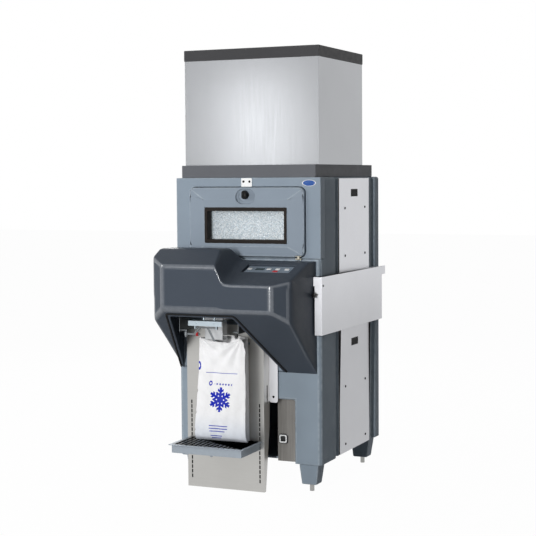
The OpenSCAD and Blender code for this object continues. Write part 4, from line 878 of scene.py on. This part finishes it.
LOW_RISE = (ROOF_BACK - ROOF_FRONT) / (ROOF_BEND - HOOD_FRONT)


def eased(low, high, value):
    """Goes smoothly from 0 to 1 between two places."""
    t = min(1.0, max(0.0, (value - low) / (high - low)))
    return t * t * (3 - 2 * t)


def along(value, points):
    """Height on a line through (place, height) points."""
    for (a, low), (b, high) in zip(points, points[1:]):
        if value <= b:
            return low + (high - low) * max(0.0, value - a) / (b - a)
    return points[-1][1]


def roof(x, y):
    """Height of the hood's roof: tall on the left, low on the right, with an S step between."""
    low = along(y, [(HOOD_FRONT, ROOF_FRONT), (ROOF_BEND, ROOF_BACK), (0.03, ROOF_BACK)])
    tall = along(y, [(HOOD_FRONT, 1.193), (-0.243, 1.267), (-0.124, 1.267), (-0.040, ROOF_BACK),
                     (0.03, ROOF_BACK)])
    step = 1.277 - 0.188 * eased(-0.052, 0.062, x)
    soft = max(0.0, 0.012 - abs(tall - step)) / 0.012
    high = min(tall, step) - soft * soft * 0.003
    beside_step = eased(-0.085, -0.045, x) * eased(0.105, 0.060, x)
    blend = 0.030 * beside_step * min(1.0, max(0.0, (tall - low) / 0.02))
    if blend <= 0:
        return max(low, high)
    soft = max(0.0, blend - abs(high - low)) / blend
    return max(low, high) + soft * soft * blend / 4


def steps(stops):
    """Places from first to last stop, with a given number of steps between each two."""
    spots = [stops[0]]
    for count, stop in stops[1:]:
        start = spots[-1]
        spots += [start + (stop - start) * (k + 1) / count for k in range(count)]
    return spots


hood_xs = steps([-SIDE_X, (14, -FACE_X), (36, -0.08), (60, 0.09), (34, FACE_X), (14, SIDE_X)])
UNDER_STEPS, FRONT_STEPS, ROOF_STEPS, WALL_THICK, LEAN_IN = 52, 30, 64, 0.006, 0.006
# How far back each row of a side wall lies from the hood's outline
WALL_ROWS = (0.006, 0.012, 0.019, 0.028, 0.045, 0.09, 0.16, 0.26, 9.0)
profile_of = []
for x in hood_xs:
    out = HOOD_FRONT + (CORNER_FRONT - HOOD_FRONT) * max(0.0, (abs(x) - FACE_X) / (SIDE_X - FACE_X))
    lip = HOOD_FOOT + (HOOD_BACK - out) * UNDER_RISE
    crest = roof(x, out)
    line = [(HOOD_BACK + (out - HOOD_BACK) * k / UNDER_STEPS,
             HOOD_FOOT + (lip - HOOD_FOOT) * k / UNDER_STEPS) for k in range(UNDER_STEPS)]
    line += [(out, lip + (crest - lip) * k / FRONT_STEPS) for k in range(FRONT_STEPS)]
    roof_ys = [out + (HOOD_BACK - out) * k / ROOF_STEPS for k in range(ROOF_STEPS + 1)]
    line += [(y, roof(x, y)) for y in roof_ys]
    profile_of.append(line)
ROWS = len(profile_of[0])
hood_grid = []
for j in range(ROWS):
    row = [(x, line[j][0], line[j][1]) for x, line in zip(hood_xs, profile_of)]
    walls = []
    for x, line in ((-SIDE_X, profile_of[0]), (SIDE_X, profile_of[-1])):
        y, z = line[j]
        home = HOOD_FOOT + (ROOF_BACK - HOOD_FOOT) * j / (ROWS - 1)
        length = math.hypot(HOOD_BACK - y, home - z)
        wall = []
        for n, gap in enumerate(WALL_ROWS):
            share = min(1.0, gap / length) if length > 0.36 else (n + 1) / len(WALL_ROWS)
            wall.append((x, y + (HOOD_BACK - y) * share, z + (home - z) * share))
        walls.append(wall)
    hood_grid.append(list(reversed(walls[0])) + row + walls[1])
COLS = len(hood_grid[0])
hood_grid = [[Vector((math.copysign(min(abs(x), SIDE_X - LEAN_IN * (z - 0.5) / 0.782), x), y, z))
              for x, y, z in row] for row in hood_grid]
for _ in range(7):
    smoothed = [row[:] for row in hood_grid]
    for j in range(1, ROWS - 1):
        above, here, below = hood_grid[j - 1], hood_grid[j], hood_grid[j + 1]
        for k in range(1, COLS - 1):
            smoothed[j][k] = (here[k] + (above[k] + below[k] + here[k - 1] + here[k + 1]) / 4) / 2
    for k in range(1, COLS - 1):
        for j in (0, ROWS - 1):
            smoothed[j][k] = hood_grid[j][k] / 2 + (hood_grid[j][k - 1] + hood_grid[j][k + 1]) / 4
            smoothed[j][k].y = HOOD_BACK
    hood_grid = smoothed
hood_skin = bmesh.new()
hood_verts = [[hood_skin.verts.new((x, FACE + y, z)) for x, y, z in row] for row in hood_grid]
for upper, lower in zip(hood_verts, hood_verts[1:]):
    for k in range(COLS - 1):
        hood_skin.faces.new((upper[k], upper[k + 1], lower[k + 1], lower[k])).smooth = True
bmesh.ops.remove_doubles(hood_skin, verts=hood_skin.verts, dist=1e-6)


def cutter(name, outline, low, high, matrix=Matrix.Identity(4)):
    """An upright block on an outline, to cut openings with."""
    drawn = bmesh.new()
    base = drawn.faces.new([drawn.verts.new((x, y, low)) for x, y in outline])
    raised = bmesh.ops.extrude_face_region(drawn, geom=[base])["geom"]
    top = [part for part in raised if isinstance(part, bmesh.types.BMVert)]
    bmesh.ops.translate(drawn, vec=(0, 0, high - low), verts=top)
    faced_out(drawn)
    bmesh.ops.transform(drawn, matrix=matrix, verts=drawn.verts)
    return place(name, drawn)


def bend(before, corner, after, radius, parts):
    """Points round a corner between two others, from and to a radius away from it."""
    before, corner, after = Vector(before), Vector(corner), Vector(after)
    start = corner + (before - corner).normalized() * radius
    stop = corner + (after - corner).normalized() * radius
    shares = [part / parts for part in range(parts + 1)]
    return [tuple((1 - t) ** 2 * start + 2 * t * (1 - t) * corner + t * t * stop) for t in shares]


def cornered(outline, radius):
    """The outline with its corners rounded."""
    turned = zip(outline[-1:] + outline[:-1], outline, outline[1:] + outline[:1])
    return [spot for before, corner, after in turned for spot in bend(before, corner, after, radius, 5)]


def pocket_plan(grow=0.0):
    """The pocket's rounded outline, grown on all sides."""
    half_w, half_d = 0.131 + grow, 0.054 + grow
    return cornered([(-half_w, -half_d), (half_w, -half_d), (half_w, half_d), (-half_w, half_d)], 0.008)


hood_item = place("hood_skin", hood_skin)
wall = hood_item.modifiers.new("wall", "SOLIDIFY")
wall.thickness = WALL_THICK
wall.offset = -1
mouth_plan = [(-0.276, FACE - 0.350), (0.080, FACE - 0.350), (0.2066, FACE + 0.008),
              (-0.3796, FACE + 0.008)]
mouth_cut = cutter("mouth_cut", cornered(mouth_plan, 0.016), 0.5, 0.962)
POCKET_X, POCKET_OUT = 0.196, 0.172
pocket_z = ROOF_FRONT + (-HOOD_FRONT - POCKET_OUT) * LOW_RISE
POCKET = (Matrix.Translation((POCKET_X, FACE - POCKET_OUT, pocket_z))
          @ Matrix.Rotation(math.atan(LOW_RISE), 4, "X"))
pocket_cut = cutter("pocket_cut", pocket_plan(), -0.012, 0.03, POCKET)
for opening in (mouth_cut, pocket_cut):
    cut = hood_item.modifiers.new(opening.name, "BOOLEAN")
    cut.operation = "DIFFERENCE"
    cut.solver = "EXACT"
    cut.object = opening
hood_made = settled(hood_item, "hood_made")
for vert in hood_made.data.vertices:
    vert.co.y = min(vert.co.y, FACE + HOOD_BACK)
hood_made.data.set_sharp_from_angle(angle=math.radians(38))
shape = bmesh.new()
shape.from_mesh(hood_made.data)
shape.faces.ensure_lookup_table()
# Forward-facing creases are marked; the mark paints a highlight on them and gives them the coat.
front_crease_highlight = []
for face in shape.faces:
    turns = [edge.calc_face_angle(0.0) for edge in face.edges if edge.calc_face_angle(0.0) < 0.6]
    forward = eased(-0.55, -0.85, face.normal.y)
    front_crease_highlight.append(forward * min(1.0, max(0.0, max(turns, default=0.0) - 0.05) / 0.07))
shape.free()
hood_made.data.attributes.new("edge", "FLOAT", "FACE").data.foreach_set("value", front_crease_highlight)
for opening in (mouth_cut, pocket_cut):
    bpy.data.objects.remove(opening)
fit_piece(hood_made, "frame", HOOD_SLATE, "hood_plastic", "hood")

# Pocket of the hood: the sunk tray under the keypad, part of the same moulding.
POCKET_RINGS = [(0.006, -0.022), (0.006, -0.0045), (0.0, -0.0035), (0.0, -0.0155), (-0.0005, -0.016)]
pocket = bmesh.new()
pocket_rings = [[pocket.verts.new(POCKET @ Vector((x, y, height))) for x, y in pocket_plan(grow)]
                for grow, height in POCKET_RINGS]
skinned(pocket, pocket_rings, smooth=False)
pocket.faces.new(pocket_rings[-1])
pocket.faces.new(list(reversed(pocket_rings[0])))
fit_piece(place("hood_pocket", faced_out(pocket)), "frame", HOOD_SLATE, "hood_plastic")

# Bead round the hood's mouth: a rounded rim that stiffens its edge, and a black rubber cord
# pressed into the groove outside it.
MOUTH_LINE = [(-0.379, 0.0), (-0.276, -0.350), (0.080, -0.350), (0.206, 0.0)]


def mouth_tube(name, outward, thick, drop):
    """A round tube along the mouth's edge, moved outwards and hung below the hood's face."""
    curve = bpy.data.curves.new(name, "CURVE")
    curve.dimensions = "3D"
    curve.bevel_depth = thick
    curve.bevel_resolution = 3
    curve.use_fill_caps = True
    corners = [Vector((x + outward * side, y - outward * ahead_by)) for (x, y), side, ahead_by in
               zip(MOUTH_LINE, (-1.04, -1, 1, 1.06), (0, 1, 1, 0))]
    spots = [tuple(corners[0])]
    for before, corner, after in zip(corners, corners[1:], corners[2:]):
        spots += bend(before, corner, after, 0.014, 4)
    spots.append(tuple(corners[-1]))
    line = curve.splines.new("POLY")
    line.points.add(len(spots) - 1)
    for point, (x, y) in zip(line.points, spots):
        point.co = (x, FACE + y, HOOD_FOOT + (HOOD_BACK - y) * UNDER_RISE - drop, 1)
    item = bpy.data.objects.new(name + "_line", curve)
    scene.collection.objects.link(item)
    tube = settled(item, name)
    for face in tube.data.polygons:
        face.use_smooth = True
    return tube


fit_piece(mouth_tube("hood_bead", 0.0, 0.0045, -0.001), "frame", HOOD_SLATE, "hood_plastic")
fit_piece(mouth_tube("hood_cord", 0.012, 0.0055, 0.001), "frame", SOFT_BLACK, "rubber_black")

# Keypad: a grey plate in the hood's pocket with a dark display, four pale keys and a red
# stop key.
KEYPAD_GREY = moulded_plastic("keypad_plate", "8b98a6", "a5b0bb", (0.3, 0.4), 0.05)
fit_node("control_panel", 0.001, "frame", KEYPAD_GREY, "label_grey")
DISPLAY = moulded_plastic("display_glass", "12302f", "1c4442", (0.08, 0.14), 0.2, 300.0, 0.05, 0.5)
fit_node("display_window", 0.001, "frame", DISPLAY, "black_plastic")
KEY_WHITE = moulded_plastic("key_white", "f0f0ee", "ffffff", (0.25, 0.35), 0.04)
KEY_RED = moulded_plastic("key_red", "c02a30", "d8555a", (0.25, 0.35), 0.06)
for key in ("start", "size", "count", "clean", "stop"):
    red = key == "stop"
    fit_node(key + "_button", 0.0016, key + "_key", KEY_RED if red else KEY_WHITE,
             "button_red" if red else "button_white")

# Bag: a gusseted tube of white film, sealed at its foot, that hangs creased from the arms
# and stands on the grille. Its print is a plain snowflake with marks and rules.
PRINTED, ends, outs = new_group("film_print", [
    ("Film", "Color", (0.9, 0.9, 0.9, 1)), ("Film in painted shade at foot", "Color", (0.8, 0.85, 0.9, 1)),
    ("Ink", "Color", (0, 0.01, 0.5, 1)), ("Flake across", "Float", 0.137), ("Flake height", "Float", 0.490),
    ("Flake reach", "Float", 0.064), ("Stroke", "Float", 0.0066)], SURFACE_OUTPUTS)


def reckon(operation, *values):
    """One step of the print's arithmetic, on numbers and other nodes' outputs."""
    return put(PRINTED, "ShaderNodeMath", dict(enumerate(values)), operation=operation).outputs[0]


def times(value, *others):
    """The product of some values of the print."""
    for other in others:
        value = reckon("MULTIPLY", value, other)
    return value


def less(value, other):
    """One value of the print less another."""
    return reckon("SUBTRACT", value, other)


def reach_of(x, z):
    """How far a place of the print is from its mark's middle."""
    return reckon("SQRT", reckon("ADD", reckon("POWER", x, 2.0), reckon("POWER", z, 2.0)))


def band(value, middle, half):
    """Is 1 where a value lies within half of a middle, with a soft edge."""
    off = reckon("ABSOLUTE", less(value, middle))
    low = reckon("ADD", half, 0.0005)
    high = less(half, 0.0005)
    return put(PRINTED, "ShaderNodeMapRange", {"Value": off, "From Min": low, "From Max": high}).outputs[0]


film_place = put(PRINTED, "ShaderNodeUVMap", uv_map="film").outputs[0]
on_film = put(PRINTED, "ShaderNodeSeparateXYZ", {0: film_place})
film_x, film_z = on_film.outputs["X"], on_film.outputs["Y"]
dx = less(film_x, ends.outputs["Flake across"])
dz = less(film_z, ends.outputs["Flake height"])
angle = reckon("ADD", reckon("ARCTAN2", dz, dx), math.pi / 6)
off_arm = reckon("PINGPONG", angle, math.pi / 6)
radius = reach_of(dx, dz)
arm_x = times(radius, reckon("COSINE", off_arm))
arm_y = times(radius, reckon("SINE", off_arm))
within = reckon("LESS_THAN", arm_x, ends.outputs["Flake reach"])
inked = times(band(arm_y, 0.0, ends.outputs["Stroke"]), within)
inked = reckon("MAXIMUM", inked, band(arm_x, 0.0125, 0.0042))


def marked(*masks):
    """Adds the product of some masks to the print."""
    return reckon("MAXIMUM", inked, times(*masks))


# The flake's branches: where each leaves its arm, and how far out it goes
for root, tip in ((0.022, 0.0215), (0.041, 0.0165)):
    beside = less(times(less(arm_x, root), 0.866), times(arm_y, 0.5))
    inked = marked(band(beside, 0.0, 0.0055), reckon("LESS_THAN", arm_y, tip))
inked = marked(band(film_z, 0.628, 0.0014), band(film_x, 0.136, 0.088))
# The two rings: middle across and up, and half their width and height
for across, level_at, wide, tall in ((0.078, 0.573, 0.0095, 0.013), (0.004, 0.661, 0.0130, 0.023)):
    far_x = reckon("DIVIDE", less(film_x, across), wide)
    far_z = reckon("DIVIDE", less(film_z, level_at), tall)
    inked = marked(band(reach_of(far_x, far_z), 0.72, 0.28))
diamond = reckon("ADD", reckon("PINGPONG", less(film_x, 0.097), 0.0085),
                 reckon("ABSOLUTE", less(film_z, 0.570)))
inked = marked(reckon("LESS_THAN", diamond, 0.0062), band(film_x, 0.150, 0.050))
# The rules: height, middle across and half their length
for level_at, middle, half in ((0.353, 0.137, 0.052), (0.339, 0.137, 0.052), (0.325, 0.132, 0.044),
                               (0.301, 0.128, 0.032), (0.290, 0.128, 0.026)):
    inked = marked(band(film_z, level_at, 0.0022), band(film_x, middle, half))
# Painted shade: the bare film is darker and bluer towards its foot.
painted_low_shade = put(PRINTED, "ShaderNodeMapRange", {"Value": film_z, "From Min": 0.27, "From Max": 0.45,
               "To Min": 0.8, "To Max": 0.0}, interpolation_type="SMOOTHSTEP").outputs[0]
film_spot = put(PRINTED, "ShaderNodeTexCoord").outputs["Object"]
milky = noise_of(PRINTED, film_spot, 22.0, 4.0)
bare = put(PRINTED, "ShaderNodeMix", {"Factor": painted_low_shade, 6: ends.outputs["Film"],
           7: ends.outputs["Film in painted shade at foot"]}, data_type="RGBA")
clouded = shifted(PRINTED, bare.outputs[2], 0.07, milky)
thin_ink = times(inked, reckon("MULTIPLY_ADD", milky, 0.05, 0.95))
printed = put(PRINTED, "ShaderNodeMix", {"Factor": thin_ink, 6: clouded, 7: ends.outputs["Ink"]},
              data_type="RGBA")
crinkle = put(PRINTED, "ShaderNodeMapping", {"Vector": film_spot, "Scale": (60.0, 60.0, 24.0)})
crinkled = noise_of(PRINTED, crinkle.outputs[0], 1.0, 5.0)
end_effect(PRINTED, outs, printed.outputs[2], reckon("MULTIPLY_ADD", milky, 0.12, 0.24), crinkled)

FILM, film_tree, film_shader = blank_material("printed_film", "f0f2f5", 0.12)
join_effect(film_tree, film_shader, PRINTED, {
    "Film": tone("fcfcfd"), "Film in painted shade at foot": tone("e2e9f4"), "Ink": tone("0020b4")}, 0.35, 0.0016)

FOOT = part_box("bag")[0].z + 0.001
AROUND, UPWARD = 200, 150
# Where the film's edges lie: height and x of the side edges, height and x of the back's edge
LEFT_EDGE = [(0.26, -0.235), (0.36, -0.229), (0.43, -0.221), (0.53, -0.213), (0.63, -0.204), (0.80, -0.198),
             (0.83, -0.190)]
RIGHT_EDGE = [(0.26, 0.060), (0.45, 0.060), (0.63, 0.062), (0.745, 0.062), (0.785, 0.055), (0.806, 0.045),
              (0.83, 0.030)]
BACK_EDGE = [(0.26, 0.044), (0.45, 0.044), (0.80, 0.040), (0.83, 0.036)]
# The mouth's height, by the share of the way round
RIM = [(0.0, 0.807), (0.06, 0.803), (0.18, 0.788), (0.27, 0.785), (0.35, 0.817), (0.40, 0.803),
       (0.46, 0.800), (0.52, 0.806), (0.70, 0.819), (0.86, 0.806), (0.93, 0.803), (1.0, 0.807)]


def wrinkle(x, z):
    """How far the film's front stands out at a place, in metres."""
    out = 0.0
    # Folds fan out from both upper corners: place, number of folds, depth and turn
    for hung_x, hung_z, count, depth, twist in ((-0.205, 0.812, 13, 0.0085, 0.4),
                                                (0.045, 0.815, 15, 0.0080, 1.9)):
        away = math.hypot(x - hung_x, z - hung_z)
        turn_by = math.atan2(z - hung_z, x - hung_x)
        out += depth * math.exp(-away / 0.15) * math.sin(count * turn_by + twist) * min(1.0, away / 0.03)
    out += 0.0038 * math.sin(34 * x + 2.2 * math.sin(5 * z + 1)) * math.sin(9 * z + 8 * x + 0.6)
    out += 0.0018 * math.sin(83 * x + 31 * z) * math.sin(47 * z - 21 * x)
    out += 0.0009 * math.sin(150 * z + 26 * math.sin(11 * x)) * math.exp(-((z - 0.76) / 0.03) ** 2)
    return out


def notch(z):
    """How far the left edge is drawn in at a height."""
    return sum(0.004 * math.exp(-((z - level_at) / 0.006) ** 2) for level_at in (0.53, 0.415, 0.325))


def bag_point(u, v):
    """A point of the film: u once round from the front's left edge, v from foot to mouth."""
    z = FOOT + v * (along(u, RIM) - FOOT)
    left = along(z, LEFT_EDGE) + notch(z)
    right_x, rear_x, rear_y = along(z, RIGHT_EDGE), along(z, BACK_EDGE), -0.0865
    front_y = -0.168 + 0.030 * math.exp(-(z - FOOT) / 0.018)
    middle = (front_y + rear_y) / 2
    tuck = 0.022 * math.exp(-((z - 0.50) / 0.25) ** 2)
    if u < 0.40:
        t = u / 0.40
        x = left + (right_x - left) * t
        full = math.sin(math.pi * t) ** 0.6 * min(1.0, (z - FOOT) / 0.02)
        return Vector((x, front_y - 0.010 * full - wrinkle(x, z) * full, z))
    if u < 0.50:
        t = (u - 0.40) / 0.10
        x = right_x + (rear_x - right_x) * t - tuck * (1 - abs(2 * t - 1)) ** 0.8
        return Vector((x + 0.5 * wrinkle(t * 0.08, z), front_y + (rear_y - front_y) * t, z))
    if u < 0.90:
        t = (u - 0.50) / 0.40
        x = rear_x + (left + 0.012 - rear_x) * t
        return Vector((x, rear_y + 0.5 * abs(wrinkle(x, z)) * math.sin(math.pi * t), z))
    t = (u - 0.90) / 0.10
    x = left + 0.012 * (1 - t) + tuck * (1 - abs(2 * t - 1)) ** 0.8
    return Vector((x, rear_y + (front_y - rear_y) * t, z))


FRONT_SHARE, FILM_THICK = 0.44, 0.0004
film = bmesh.new()
film_uv = film.loops.layers.uv.new("film")
film_rings = [[film.verts.new(bag_point(j / AROUND, k / UPWARD) + Vector((0, FACE, 0)))
               for j in range(AROUND)] for k in range(UPWARD + 1)]
for n, face in enumerate(skinned(film, film_rings)):
    on_front = n % AROUND < AROUND * FRONT_SHARE
    for loop in face.loops:
        spot = loop.vert.co
        loop[film_uv].uv = (spot.x - along(spot.z, LEFT_EDGE) if on_front else 1.0, spot.z)
film.faces.new(list(reversed(film_rings[0])))
bag = place("bag_film", film)
bag.modifiers.new("film", "SOLIDIFY").thickness = FILM_THICK
bag = settled(bag, "bag_made")
fit_piece(bag, "bag_body", FILM, "bag_film", "bag")

bpy.data.objects.remove(screw_head)

# The flat bare steel of the machine's casing and of the slotted panel takes its shine from the
# backdrop and the steel lamp alone, because the tall front lamp would burn it out straight on.
unlit_steel = bpy.data.collections.new("steel_without_front_lamp")
for item in scene.objects:
    if item.type == "MESH" and {MACHINE_STEEL, PANEL_STEEL} & set(item.data.materials):
        unlit_steel.objects.link(item)
for entry in unlit_steel.collection_objects:
    entry.light_linking.link_state = "EXCLUDE"
bpy.data.objects["front"].light_linking.receiver_collection = unlit_steel
